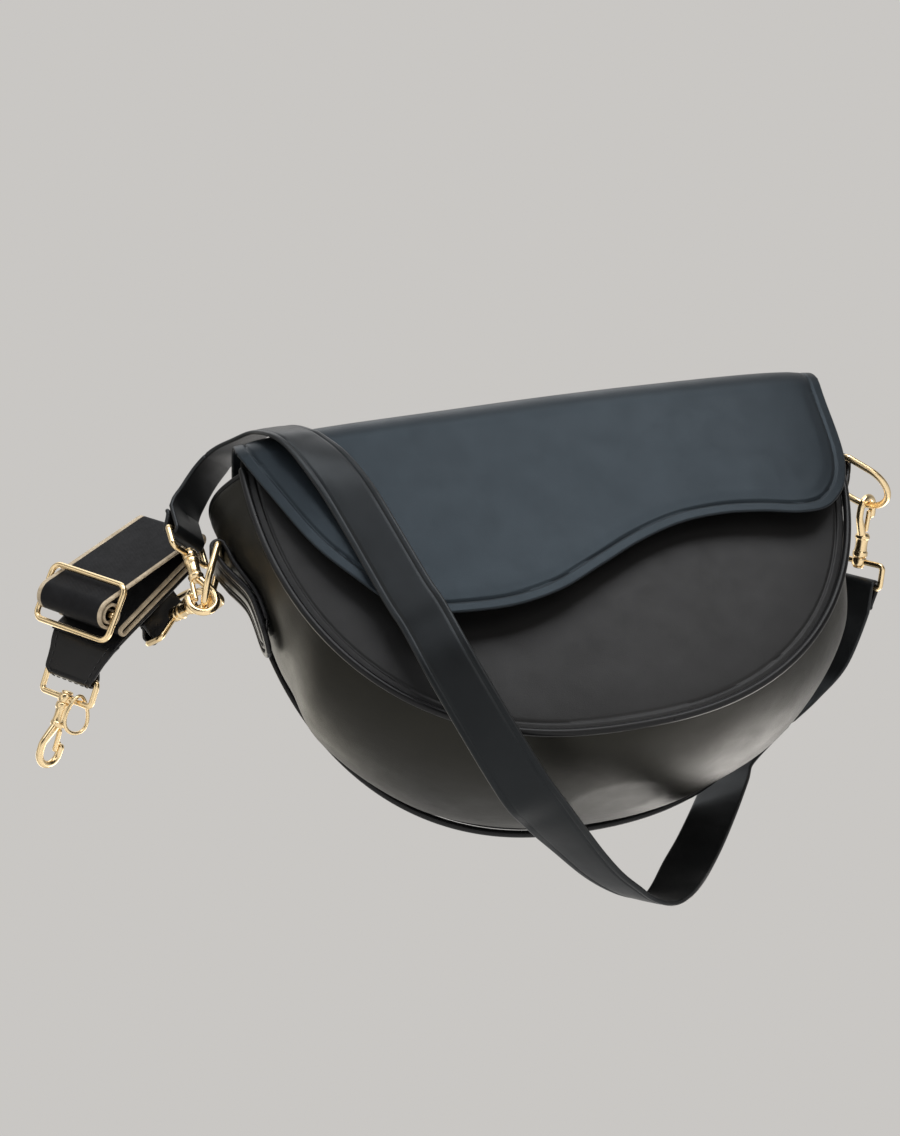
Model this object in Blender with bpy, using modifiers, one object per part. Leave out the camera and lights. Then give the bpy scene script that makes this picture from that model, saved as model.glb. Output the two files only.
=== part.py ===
# Half moon bag with a wave edged flap, a clip-on leather strap and a folded webbing strap.
# Metres, +Z up, +X to the wearer's right in the front view, the front of the bag faces -Y.
# The origin is the middle of the flat patch under the gusset.

import math

import bmesh
import bpy
from mathutils import Matrix, Vector

# Bag body
HALF_WIDTH = 0.125
PANEL_HEIGHT = 0.146
BASE_DEPTH = 0.104
TOP_DEPTH = 0.062
GUSSET_BULGE = 0.010
FLAT_FOOT = 0.0008
GUSSET_SWELL = 0.004
FRONT_DOME = 0.007
BACK_DOME = 0.005
LEATHER = 0.0016
LINING_THICKNESS = 0.0007
LINING_INSET = 0.0024
LINING_DROP = 0.003
SEAT_GAP = 0.0003
PANEL_GAP = 0.0004
MOUTH_CORNER = 0.004
PIPING_RADIUS = 0.0016
EAR_BINDING_RADIUS = 0.0012

# Flap
FLAP_TOP_RISE = 0.016
FLAP_DROP = 0.108
FLAP_FOLD_RADIUS = 0.016
FLAP_STANDOFF = 0.0038
FLAP_LIFT = 0.003
FLAP_SKIN = 0.0014
FLAP_LINING = 0.0008
FLAP_PLY_GAP = 0.0011
FLAP_LINING_MARGIN_SHARE = 0.975
FLAP_WIDTH_SHARE = 1.02
HINGE_RISE = 0.0013
ROOT_HEIGHT = 0.016
ROOT_HALF_WIDTH = 0.118
ROOT_THICKNESS = 0.0014

# Magnetic snap
SNAP_RADIUS = 0.008
SNAP_THICKNESS = 0.0013
SNAP_SEAT = 0.0005
SNAP_X = -0.040
SNAP_DROP = 0.072

# Side tabs and D rings
TAB_WIDTH = 0.017
TAB_LEATHER = 0.0020
TAB_SEAT = 0.00045
TAB_LENGTH = 0.048
TAB_INNER_LENGTH = 0.036
RING_WIRE_RADIUS = 0.0015
RING_HALF_WIDTH = 0.0125
RING_LEG = 0.0125
RING_PIVOT_DROP = 0.0205
LEFT_RING_LEAN = math.radians(23)
RIGHT_RING_LEAN = math.radians(44)

# Swivel snap hooks
HOOK_WIRE_RADIUS = 0.0016
HOOK_EYE_RADIUS = 0.0056
HOOK_GAP = 0.0003
HOOK_SHANK_TOP = 0.0140
HOOK_NECK_RADIUS = 0.0034
HOOK_NECK_FOOT = 0.0130
HOOK_NECK_TOP = 0.0240
HOOK_POST_RADIUS = 0.0015
HOOK_HEAD_RADIUS = 0.0026
HOOK_HEAD_THICKNESS = 0.0012
GATE_RADIUS = 0.0011
BOSS_RADIUS = 0.0032
BOSS_HEIGHT = 0.0036
LOOP_WIRE_RADIUS = 0.0013
LOOP_INNER_WIDTH = 0.0215
LOOP_INNER_HEIGHT = 0.0080
LOOP_CORNER = 0.0020

# Leather strap
STRAP_WIDTH = 0.019
STRAP_THICKNESS = 0.0022

# Webbing strap, folded up beside the left ring
WEB_WIDTH = 0.038
WEB_THICKNESS = 0.0015
WEB_RUN = 0.050
WEB_FOLD_END = 0.003
WEB_RIGHT_LEVELS = (0.00075, 0.0055, 0.0090)
WEB_LEFT_LEVELS = (0.0165, 0.0200)
WEB_ROLL_CORE = 0.0026
WEB_ROLL_RADIUS = 0.0064
WEB_ROLL_TURNS = 1.75
GLIDE_WIRE_RADIUS = 0.0013
GLIDE_BAR_RADIUS = 0.0014
GLIDE_REACH = 0.0122
GLIDE_LEAN = math.radians(45)
CHAPE_THICKNESS = 0.0018
CHAPE_END_WIDTH = 0.0245
CHAPE_TAIL = 0.0075
CHAPE_BEND_TURNS = (math.radians(12), math.radians(14))
INNER_CHAPE_RISE = math.radians(75)
WEB_LOOP_INNER_WIDTH = 0.0270
TEARDROP_WIRE_RADIUS = 0.0008
TEARDROP_HALF_WIDTH = 0.0052
TEARDROP_HEIGHT = 0.0160

SEGMENTS_AROUND = 36
PANEL_ROWS = 5
GUSSET_ROWS = 8
FLAP_COLUMNS = 24
OVER_ROWS = 6
FOLD_ROWS = 4
FALL_ROWS = 6
FOLD_MOST_SHARE = 0.6
OUTLINE_POWER_X = 2.39
OUTLINE_POWER_Z = 2.22

CORNER_HEIGHT = GUSSET_BULGE + PANEL_HEIGHT
SNAP_HEIGHT = CORNER_HEIGHT - SNAP_DROP
RING_PIVOT_HEIGHT = CORNER_HEIGHT - RING_PIVOT_DROP
FLAP_TOP = CORNER_HEIGHT + FLAP_TOP_RISE
FLAP_HALF_WIDTH = HALF_WIDTH * FLAP_WIDTH_SHARE
LOOP_FOOT = HOOK_NECK_TOP + HOOK_GAP + BOSS_HEIGHT / 2
LOOP_TOP = LOOP_FOOT + LOOP_INNER_HEIGHT + 2 * LOOP_WIRE_RADIUS

# How far the gusset swells past its bulge at the foot, by its height as a share of the mouth's.
SWELL_SHARES = [
    (0.000, 0.00), (0.090, 0.00), (0.190, 0.45), (0.385, 0.80), (0.545, -0.85),
    (0.705, -1.55), (0.868, -0.15), (0.940, 0.60), (1.000, 1.00),
]

# The flap's free edge from the left corner round to the right one: shares of the half width
# and of the drop below the fold.
FLAP_EDGE_SHARES = [
    (-1.020, 0.09), (-0.945, 0.315), (-0.846, 0.587), (-0.733, 0.790), (-0.655, 0.905),
    (-0.560, 0.975), (-0.420, 1.000), (-0.270, 1.000), (-0.120, 0.960), (0.030, 0.878),
    (0.184, 0.793), (0.336, 0.737), (0.480, 0.722), (0.616, 0.734), (0.744, 0.758),
    (0.840, 0.745), (0.912, 0.680), (0.957, 0.600), (0.985, 0.500), (1.000, 0.380),
    (1.010, 0.220), (1.020, 0.090),
]

# Where the bundle of webbing hangs: out from and over the left ring's bar, at a share of half
# the base depth, then the ways across it and along it.
BUNDLE_OUT = 0.054384619
BUNDLE_RISE = 0.004588001
BUNDLE_DEPTH_SHARE = 0.270
BUNDLE_ACROSS_SHARES = (0.640, -0.450, -0.620)
BUNDLE_ALONG_SHARES = (0.735, 0.289, 0.613)
TEARDROP_FACE_SHARES = (0.460, -0.680, -0.560)
FREE_CLIP_UP_SHARES = (0.0, -0.15, 0.98)

# Where the three held hooks sit on their rings, and the way each one's strap end points.
LEFT_CLIP_SEAT = math.radians(-9)
LEFT_CLIP_SWIVEL = math.radians(-38)
LEFT_CLIP_AIM_SHARES = (-0.07, 0.13, 0.99)
RIGHT_CLIP_SEAT = math.radians(60)
RIGHT_CLIP_AIM_SHARES = (-0.17, 0.66, -0.73)
WEB_CLIP_SEAT = math.radians(88)
WEB_CLIP_AIM_SHARES = (-0.533, 0.816, 0.226)

# The hidden leather end's way from its hook's loop to the stack: shares of the rise between them.
INNER_CHAPE_SHARES = ((0.30, 0.68), (0.42, 0.90), (0.68, 1.0), (1.10, 1.0))

# The leather strap's way from the left clip over the flap, under the bag and up behind it.
# Shares of the half width, of half the base depth and of the corner height, and the way
# across the strap as x, y and z shares.
STRAP_ROUTE_SHARES = [
    (-1.170, 0.077, 1.070, 0.43, 0.89, -0.14),
    (-1.102, 0.029, 1.136, 0.47, 0.88, 0.01),
    (-1.022, -0.115, 1.172, 0.68, 0.69, 0.24),
    (-0.954, -0.346, 1.157, 0.83, 0.46, 0.30),
    (-0.888, -0.596, 1.122, 0.91, 0.34, 0.23),
    (-0.840, -0.856, 1.050, 0.91, 0.35, 0.22),
    (-0.797, -0.933, 0.994, 0.89, 0.30, 0.34),
    (-0.757, -1.000, 0.920, 0.93, 0.08, 0.35),
    (-0.715, -1.048, 0.825, 0.94, -0.13, 0.30),
    (-0.679, -1.115, 0.710, 0.90, -0.34, 0.27),
    (-0.615, -1.250, 0.479, 0.90, -0.34, 0.28),
    (-0.582, -1.298, 0.384, 0.90, -0.34, 0.26),
    (-0.526, -1.308, 0.211, 0.91, -0.33, 0.26),
    (-0.398, -1.077, -0.042, 0.89, -0.35, 0.29),
    (-0.307, -0.769, -0.113, 0.83, -0.56, 0.02),
    (-0.215, -0.442, -0.162, 0.72, -0.65, -0.24),
    (-0.129, -0.192, -0.210, 0.55, -0.77, -0.32),
    (-0.054, -0.058, -0.247, 0.37, -0.86, -0.34),
    (0.007, 0.019, -0.271, 0.28, -0.85, -0.45),
    (0.056, 0.077, -0.277, 0.49, -0.72, -0.50),
    (0.102, 0.154, -0.261, 0.72, -0.57, -0.39),
    (0.155, 0.269, -0.224, 0.82, -0.43, -0.37),
    (0.231, 0.481, -0.159, 0.83, -0.32, -0.46),
    (0.327, 0.712, -0.075, 0.83, -0.34, -0.44),
    (0.440, 0.962, 0.034, 0.83, -0.38, -0.41),
    (0.542, 1.154, 0.140, 0.82, -0.43, -0.38),
    (0.610, 1.260, 0.215, 0.81, -0.45, -0.38),
    (0.780, 1.290, 0.320, 0.82, -0.30, -0.48),
    (0.935, 1.270, 0.400, 0.78, -0.20, -0.58),
    (1.060, 1.170, 0.471, 0.70, -0.28, -0.62),
]


def clear_scene():
    for thing in list(bpy.data.objects):
        bpy.data.objects.remove(thing, do_unlink=True)


def collection(name):
    group = bpy.data.collections.new(name)
    bpy.context.scene.collection.children.link(group)
    return group


def finish(name, color, roughness, metallic=0.0):
    material = bpy.data.materials.new(name)
    material.use_nodes = True
    shader = material.node_tree.nodes["Principled BSDF"]
    shader.inputs["Base Color"].default_value = (*color, 1.0)
    shader.inputs["Roughness"].default_value = roughness
    shader.inputs["Metallic"].default_value = metallic
    return material


def place(name, mesh, group, material):
    thing = bpy.data.objects.new(name, mesh)
    group.objects.link(thing)
    mesh.materials.clear()
    mesh.materials.append(material)
    return thing


def smooth_mesh(mesh, angle=math.radians(40)):
    mesh.shade_smooth()
    mesh.set_sharp_from_angle(angle=angle)


def sheet(name, rows, thickness, offset, group, material):
    """A grid of points, one list per row, given a thickness by Solidify."""
    mesh = bpy.data.meshes.new(name)
    columns = len(rows[0])
    points = [tuple(p) for row in rows for p in row]
    faces = []
    for i in range(len(rows) - 1):
        for j in range(columns - 1):
            a = i * columns + j
            faces.append((a, a + 1, a + columns + 1, a + columns))
    mesh.from_pydata(points, [], faces)
    mesh.update()
    smooth_mesh(mesh)
    thing = place(name, mesh, group, material)
    skin = thing.modifiers.new("Thickness", "SOLIDIFY")
    skin.thickness = thickness
    skin.offset = offset
    skin.use_even_offset = True
    return thing


def wire(name, points, radius, group, material, cyclic=False, sides=2):
    """A round wire or cord along points."""
    curve = bpy.data.curves.new(name, "CURVE")
    curve.dimensions = "3D"
    curve.bevel_depth = radius
    curve.bevel_resolution = sides
    curve.render_resolution_u = 0
    curve.use_fill_caps = True
    spline = curve.splines.new("POLY")
    spline.points.add(len(points) - 1)
    for knot, p in zip(spline.points, points):
        knot.co = (*p, 1.0)
    spline.use_cyclic_u = cyclic
    return place(name, curve, group, material)


def meshed(thing, group):
    """The evaluated object as a plain mesh object of the same name, its caps welded."""
    depsgraph = bpy.context.evaluated_depsgraph_get()
    mesh = bpy.data.meshes.new_from_object(thing.evaluated_get(depsgraph))
    work = bmesh.new()
    work.from_mesh(mesh)
    bmesh.ops.remove_doubles(work, verts=work.verts, dist=HOOK_GAP / 30)
    bmesh.ops.recalc_face_normals(work, faces=work.faces)
    work.to_mesh(mesh)
    work.free()
    name, material = thing.name, mesh.materials[0]
    matrix = thing.matrix_world.copy()
    bpy.data.objects.remove(thing, do_unlink=True)
    mesh.name = name
    result = place(name, mesh, group, material)
    result.matrix_world = matrix
    return result


def cylinder(name, radius, low, high, group, material, sides=16):
    """An upright cylinder between two heights."""
    mesh = bpy.data.meshes.new(name)
    work = bmesh.new()
    bmesh.ops.create_cone(
        work, cap_ends=True, segments=sides, radius1=radius, radius2=radius, depth=high - low
    )
    bmesh.ops.translate(work, verts=work.verts, vec=(0, 0, (low + high) / 2))
    work.to_mesh(mesh)
    work.free()
    smooth_mesh(mesh)
    return place(name, mesh, group, material)


def cut(target, tool, operation):
    step = target.modifiers.new(operation.title(), "BOOLEAN")
    step.operation = operation
    step.object = tool
    step.solver = "EXACT"
    tool.hide_render = True
    tool.display_type = "WIRE"


def settled(target, tools, group):
    """The target with its Booleans applied, and the tools removed."""
    bpy.context.view_layer.update()
    result = meshed(target, group)
    for tool in tools:
        bpy.data.objects.remove(tool, do_unlink=True)
    smooth_mesh(result.data)
    return result


def catmull(points, per_span):
    """Points along a smooth curve through the given tuples, of any length."""
    out = []
    last = len(points) - 1
    for i in range(last):
        p0, p1 = points[max(i - 1, 0)], points[i]
        p2, p3 = points[i + 1], points[min(i + 2, last)]
        for k in range(per_span):
            t = k / per_span
            out.append(tuple(
                0.5 * (2 * b + (c - a) * t + (2 * a - 5 * b + 4 * c - d) * t * t
                       + (3 * b - a - 3 * c + d) * t ** 3)
                for a, b, c, d in zip(p0, p1, p2, p3)
            ))
    out.append(tuple(points[-1]))
    return out


def even(points, count):
    """The same polyline read at evenly spaced lengths."""
    steps = [math.dist(a, b) for a, b in zip(points, points[1:])]
    total, out, i, done = sum(steps), [], 0, 0.0
    for k in range(count):
        want = total * k / (count - 1)
        while i < len(steps) - 1 and done + steps[i] < want:
            done += steps[i]
            i += 1
        t = min(max((want - done) / steps[i], 0.0), 1.0) if steps[i] else 0.0
        out.append(tuple(a + (b - a) * t for a, b in zip(points[i], points[i + 1])))
    return out


def ribbon_rows(centres, sides, width):
    """Rows of three points across a strap from its centre line and its sideways vectors."""
    rows = []
    for i, centre in enumerate(centres):
        before = centres[max(i - 1, 0)]
        after = centres[min(i + 1, len(centres) - 1)]
        along = (after - before).normalized()
        side = sides[i] - along * sides[i].dot(along)
        side.normalize()
        half = width[i] / 2 if isinstance(width, list) else width / 2
        rows.append([centre - side * half, centre.copy(), centre + side * half])
    return rows


# The bag's outline and surfaces


def half_depth(z):
    share = min(max((z - GUSSET_BULGE) / PANEL_HEIGHT, 0.0), 1.0)
    return (BASE_DEPTH + (TOP_DEPTH - BASE_DEPTH) * share) / 2


def outline(share):
    """The seam line as x, z and its outward normal, from the left corner to the right one."""
    def at(s):
        turn = math.pi * s
        c, d = math.cos(turn), abs(math.sin(turn))
        x = -HALF_WIDTH * math.copysign(abs(c) ** (2 / OUTLINE_POWER_X), c)
        return x, GUSSET_BULGE + PANEL_HEIGHT * (1 - d ** (2 / OUTLINE_POWER_Z))
    x, z = at(share)
    step = 1 / (8 * SEGMENTS_AROUND)
    before, after = at(max(share - step, 0.0)), at(min(share + step, 1.0))
    along = Vector((after[0] - before[0], after[1] - before[1])).normalized()
    return x, z, Vector((along.y, -along.x))


def seam_shares():
    """Shares along the outline, evenly spaced by length, with ties settled one way."""
    fine = 40 * SEGMENTS_AROUND
    tie_share = 1e-9
    track = [(outline(k / fine)[0], outline(k / fine)[1], k / fine) for k in range(fine + 1)]
    steps = [math.dist(a[:2], b[:2]) for a, b in zip(track, track[1:])]
    total, shares, done, i = sum(steps), [], 0.0, 0
    for k in range(SEGMENTS_AROUND + 1):
        want = total * (k / SEGMENTS_AROUND + tie_share)
        while i < len(steps) and done + steps[i] < want:
            done += steps[i]
            i += 1
        shares.append(track[min(i, fine)][2])
    shares[0], shares[-1] = 0.0, 1.0
    return shares


def seam_point(share, out, y):
    x, z, normal = outline(share)
    return Vector((x + normal.x * out, y, z + normal.y * out))


def fullness(x, z):
    """1 in the middle of a panel's top edge, falling to 0 at its seam."""
    across = abs(x / HALF_WIDTH) ** OUTLINE_POWER_X
    down = max(CORNER_HEIGHT - z, 0.0) / PANEL_HEIGHT
    return max(1 - across - down ** OUTLINE_POWER_Z, 0.0) ** 0.8


def front_y(x, z):
    return -half_depth(z) - FRONT_DOME * fullness(x, z)


def back_y(x, z):
    eased = min(max((CORNER_HEIGHT - z) / (PANEL_HEIGHT / 2), 0.0), 1.0)
    return half_depth(z) + BACK_DOME * fullness(x, z) * eased


def panel_rows(shares, surface, rows, inset, drop):
    """Upright lines from the mouth edge down to the seam, one per share of the outline."""
    grid = []
    for share in shares:
        foot = seam_point(share, -inset, 0)
        top_x = foot.x * (1 - MOUTH_CORNER / HALF_WIDTH)
        top_z = CORNER_HEIGHT - drop
        foot.z = min(foot.z, top_z)
        line = []
        for k in range(rows + 1):
            t = k / rows
            x = top_x + (foot.x - top_x) * t
            z = top_z + (foot.z - top_z) * t
            line.append(Vector((x, surface(x, z), z)))
        grid.append(line)
    return grid


def bulge(z):
    """How far the gusset's crown stands out from the seam at height z."""
    height = min(max(z / CORNER_HEIGHT, 0.0), 1.0)
    for (low, first), (high, last) in zip(SWELL_SHARES, SWELL_SHARES[1:]):
        if height <= high:
            t = (height - low) / (high - low)
            t = t * t * (3 - 2 * t)
            return GUSSET_BULGE + FLAT_FOOT + GUSSET_SWELL * (first + (last - first) * t)
    return GUSSET_BULGE + FLAT_FOOT + GUSSET_SWELL


def gusset_row(share, inset, drop, rows, edge_gap):
    x, z, normal = outline(share)
    depth = half_depth(z) - edge_gap
    line = []
    for k in range(rows + 1):
        u = -1 + 2 * k / rows
        out = bulge(z) * (1 - abs(u) ** 2.2) - inset
        point = seam_point(share, out, u * depth)
        point.z = min(max(point.z, inset), CORNER_HEIGHT - drop)
        line.append(point)
    return line


# Sub-parts of the bag body


def make_body(group, looks):
    shares = seam_shares()
    panel = panel_rows(shares, front_y, PANEL_ROWS, PANEL_GAP, 0)
    sheet("front_panel", panel, LEATHER, -1, group, looks["leather"])
    panel = panel_rows(shares, back_y, PANEL_ROWS - 1, PANEL_GAP, 0)
    sheet("back_panel", panel, LEATHER, 1, group, looks["leather"])
    side = [gusset_row(s, 0, 0, GUSSET_ROWS, LEATHER + PANEL_GAP) for s in shares]
    sheet("gusset", side, LEATHER, -1, group, looks["leather"])
    make_lining(group, looks, shares)
    make_piping(group, looks, shares)
    make_ear_bindings(group, looks)


def make_lining(group, looks, shares):
    """One thin bag inside the leather: front, gusset and back in a single sheet."""
    grid = []
    for share in shares[::2]:
        front = panel_rows([share], lambda x, z: front_y(x, z) + LINING_INSET, 4,
                           LINING_INSET, LINING_DROP)[0]
        side = gusset_row(share, LINING_INSET, LINING_DROP, 4, LINING_INSET)
        back = panel_rows([share], lambda x, z: back_y(x, z) - LINING_INSET, 4,
                          LINING_INSET, LINING_DROP)[0]
        grid.append(front[:-1] + side + back[-2::-1])
    sheet("lining", grid, LINING_THICKNESS, -1, group, looks["lining"])


def make_piping(group, looks, shares):
    reach = (PIPING_RADIUS + SEAT_GAP) * math.sqrt(0.5)
    for name, side in (("front_piping", -1), ("back_piping", 1)):
        path = []
        for share in shares:
            z = outline(share)[1]
            path.append(seam_point(share, reach, side * (half_depth(z) + reach)))
        wire(name, path, PIPING_RADIUS, group, looks["leather"], sides=1)


def make_ear_bindings(group, looks):
    for name, share in (("left_ear_binding", 0.0), ("right_ear_binding", 1.0)):
        edge = gusset_row(share, LEATHER / 2, 0, GUSSET_ROWS + 2, EAR_BINDING_RADIUS * 2)
        lift = EAR_BINDING_RADIUS + SEAT_GAP
        path = [p + Vector((0, 0, lift)) for p in edge]
        wire(name, path, EAR_BINDING_RADIUS, group, looks["leather"], sides=1)


# Flap


def flap_front_y(x, z, inset):
    crown = FRONT_DOME * max(1 - (x / FLAP_HALF_WIDTH) ** 4, 0.0)
    lift = FLAP_LIFT * (max(FLAP_TOP - z, 0.0) / FLAP_DROP) ** 2
    thick = FLAP_SKIN + FLAP_LINING + FLAP_PLY_GAP
    return -(half_depth(z) + crown + FLAP_STANDOFF + thick + lift - inset)


def flap_hinge():
    """The hinge line's y and z, over the root strip's outer face."""
    y = half_depth(CORNER_HEIGHT) + SEAT_GAP + PANEL_GAP + ROOT_THICKNESS
    return y, CORNER_HEIGHT + HINGE_RISE


def fold_drops(drop_end, inset):
    """Drops below the fold: round the fold by even angles, then down to the free edge."""
    bend = min(FLAP_FOLD_RADIUS - inset, (drop_end - inset) * FOLD_MOST_SHARE)
    drops = [inset + bend * (1 - math.cos(math.pi / 2 * k / FOLD_ROWS)) for k in range(FOLD_ROWS + 1)]
    left = drop_end - drops[-1]
    return drops + [drops[-1] + left * (k + 1) / FALL_ROWS for k in range(FALL_ROWS)]


def flap_column(x_fold, x_end, drop_end, inset, over_rows):
    """From the hinge over the top to the fold, then down the front to the free edge."""
    hinge_y, hinge_z = flap_hinge()
    out_y = hinge_y - SEAT_GAP - inset
    foot = hinge_z + SEAT_GAP * 3
    fold_y = flap_front_y(x_fold, FLAP_TOP - FLAP_FOLD_RADIUS, 0) + FLAP_FOLD_RADIUS
    line = []
    for k in range(over_rows):
        turn = math.pi / 2 * k / over_rows
        y = fold_y + (out_y - fold_y) * math.cos(turn)
        z = foot + (FLAP_TOP - inset - foot) * math.sin(turn)
        line.append(Vector((x_fold, y, z)))
    for drop in fold_drops(drop_end, inset):
        x = x_fold + (x_end - x_fold) * (drop - inset) / (drop_end - inset)
        z = FLAP_TOP - drop
        y = flap_front_y(x, min(z, FLAP_TOP - FLAP_FOLD_RADIUS), inset)
        if drop < FLAP_FOLD_RADIUS:
            radius = FLAP_FOLD_RADIUS - inset
            rise = (FLAP_FOLD_RADIUS - drop) / radius
            y += radius * (1 - math.sqrt(max(1 - rise * rise, 0.0)))
        line.append(Vector((x, y, z)))
    return line


def flap_grid(inset, trim_share, columns, over_rows):
    edge = [(x * HALF_WIDTH, d * FLAP_DROP) for x, d in catmull(FLAP_EDGE_SHARES, 6)]
    edge = even(edge, columns + 1)
    grid = []
    for j, (x, drop) in enumerate(edge):
        fold = FLAP_HALF_WIDTH * trim_share * (2 * j / columns - 1)
        grid.append(flap_column(fold, x * trim_share, drop * trim_share, inset, over_rows))
    return grid


def make_flap(group, looks):
    grid = flap_grid(0, 1.0, FLAP_COLUMNS, OVER_ROWS)
    sheet("flap_skin", grid, FLAP_SKIN, -1, group, looks["leather"])
    inset = FLAP_SKIN + FLAP_PLY_GAP
    grid = flap_grid(inset, FLAP_LINING_MARGIN_SHARE, FLAP_COLUMNS, OVER_ROWS)
    sheet("flap_lining", grid, FLAP_LINING, -1, group, looks["lining"])
    root = []
    for i in range(13):
        x = ROOT_HALF_WIDTH * (2 * i / 12 - 1)
        line = []
        for k in range(4):
            z = CORNER_HEIGHT + HINGE_RISE - SEAT_GAP - ROOT_HEIGHT * k / 3
            line.append(Vector((x, back_y(x, z) + SEAT_GAP + PANEL_GAP, z)))
        root.append(line)
    sheet("flap_root", root, ROOT_THICKNESS, -1, group, looks["leather"])


def surface_frame(point, across, down):
    """A frame whose Z leaves a surface given by two of its tangents."""
    normal = across.cross(down).normalized()
    side = across.normalized()
    return Matrix.Translation(point) @ Matrix((side, normal.cross(side), normal)).transposed().to_4x4()


def make_snap(group, looks):
    x, z, step = SNAP_X, SNAP_HEIGHT, SNAP_RADIUS / 2
    inner = FLAP_SKIN + FLAP_PLY_GAP + FLAP_LINING
    for name, surface, low in (
        ("snap_base", front_y, SNAP_SEAT),
        ("snap_stud", lambda a, b: flap_front_y(a, b, inner), -SNAP_SEAT - SNAP_THICKNESS),
    ):
        here = Vector((x, surface(x, z), z))
        across = Vector((x + step, surface(x + step, z), z)) - here
        up = Vector((x, surface(x, z + step), z + step)) - here
        disc = cylinder(name, SNAP_RADIUS, low, low + SNAP_THICKNESS, group, looks["gold"])
        disc.matrix_world = surface_frame(here, across, up)


# Tabs and D rings


def gusset_side(z, out):
    """Half the bag's width over the gusset's crown at height z, plus out."""
    crown = []
    for share in seam_shares()[:SEGMENTS_AROUND // 2]:
        crown.append(seam_point(share, bulge(outline(share)[1]) + out, 0))
    for high, low in zip(crown, crown[1:]):
        if low.z <= z:
            t = (z - low.z) / (high.z - low.z)
            return -(low.x + (high.x - low.x) * t)
    return -crown[-1].x


def ring_pivot(side):
    seat = gusset_side(RING_PIVOT_HEIGHT, TAB_SEAT + TAB_LEATHER / 2)
    turn_radius = RING_WIRE_RADIUS + SEAT_GAP + TAB_LEATHER / 2
    return Vector((side * (seat + turn_radius), 0, RING_PIVOT_HEIGHT))


def make_tab(name, side, group, looks):
    """A strip folded round the ring's bar and sewn flat on the gusset."""
    pivot = ring_pivot(side)
    turn_radius = RING_WIRE_RADIUS + SEAT_GAP + TAB_LEATHER / 2
    inner_gap = TAB_SEAT + TAB_LEATHER / 2
    outer_gap = inner_gap + TAB_LEATHER + SEAT_GAP
    path, widths = [], []
    steps = 7
    for k in range(steps):
        z = pivot.z - TAB_INNER_LENGTH * (1 - k / steps)
        path.append(Vector((side * gusset_side(z, inner_gap), 0, z)))
        widths.append(TAB_WIDTH)
    for k in range(9):
        turn = math.pi * k / 8
        path.append(Vector((
            pivot.x - side * turn_radius * math.cos(turn), 0,
            pivot.z + turn_radius * math.sin(turn),
        )))
        widths.append(TAB_WIDTH)
    steps = 12
    for k in range(2, steps + 1):
        t = k / steps
        z = pivot.z - TAB_LENGTH * t
        seat = side * gusset_side(z, outer_gap)
        blend = max(1 - t / 0.5, 0.0) ** 2
        x = seat + (pivot.x + side * turn_radius - seat) * blend
        path.append(Vector((x, 0, z)))
        nose = max(z - (pivot.z - TAB_LENGTH), 0.0) / (TAB_WIDTH / 2)
        round_share = math.sqrt(max(1 - (1 - min(nose, 1.0)) ** 2, 0.0))
        widths.append(TAB_WIDTH * max(round_share, 0.35))
    across = [Vector((0, 1, 0))] * len(path)
    rows = ribbon_rows(path, across, widths)
    sheet(name, rows, TAB_LEATHER, 0, group, looks["leather"])


def ring_outline():
    """The D ring in its own frame: the bar on the Y axis at the origin, the bow along -Z."""
    points = []
    corner = RING_WIRE_RADIUS * 1.4
    for k in range(4):
        turn = math.pi / 2 * k / 3
        points.append(Vector((0, -RING_HALF_WIDTH + corner * (1 - math.sin(turn)),
                              -corner * (1 - math.cos(turn)))))
    for k in range(15):
        turn = math.pi * k / 14
        points.append(Vector((0, -RING_HALF_WIDTH * math.cos(turn),
                              -RING_LEG - RING_HALF_WIDTH * math.sin(turn))))
    for k in range(4):
        turn = math.pi / 2 * (1 - k / 3)
        points.append(Vector((0, RING_HALF_WIDTH - corner * (1 - math.sin(turn)),
                              -corner * (1 - math.cos(turn)))))
    return points


def ring_matrix(side, lean):
    pivot = ring_pivot(side)
    return Matrix.Translation(pivot) @ Matrix.Rotation(side * -lean, 4, "Y")


def ring_seat(matrix, turn):
    """A point of the bow and the wire's direction there, turn measured from its lowest point."""
    local = Vector((0, RING_HALF_WIDTH * math.sin(turn),
                    -RING_LEG - RING_HALF_WIDTH * math.cos(turn)))
    along = Vector((0, math.cos(turn), math.sin(turn)))
    return matrix @ local, (matrix.to_3x3() @ along).normalized()


# Snap hooks, in their own frame: the held wire passes the origin along Y, the strap is up Z


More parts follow.
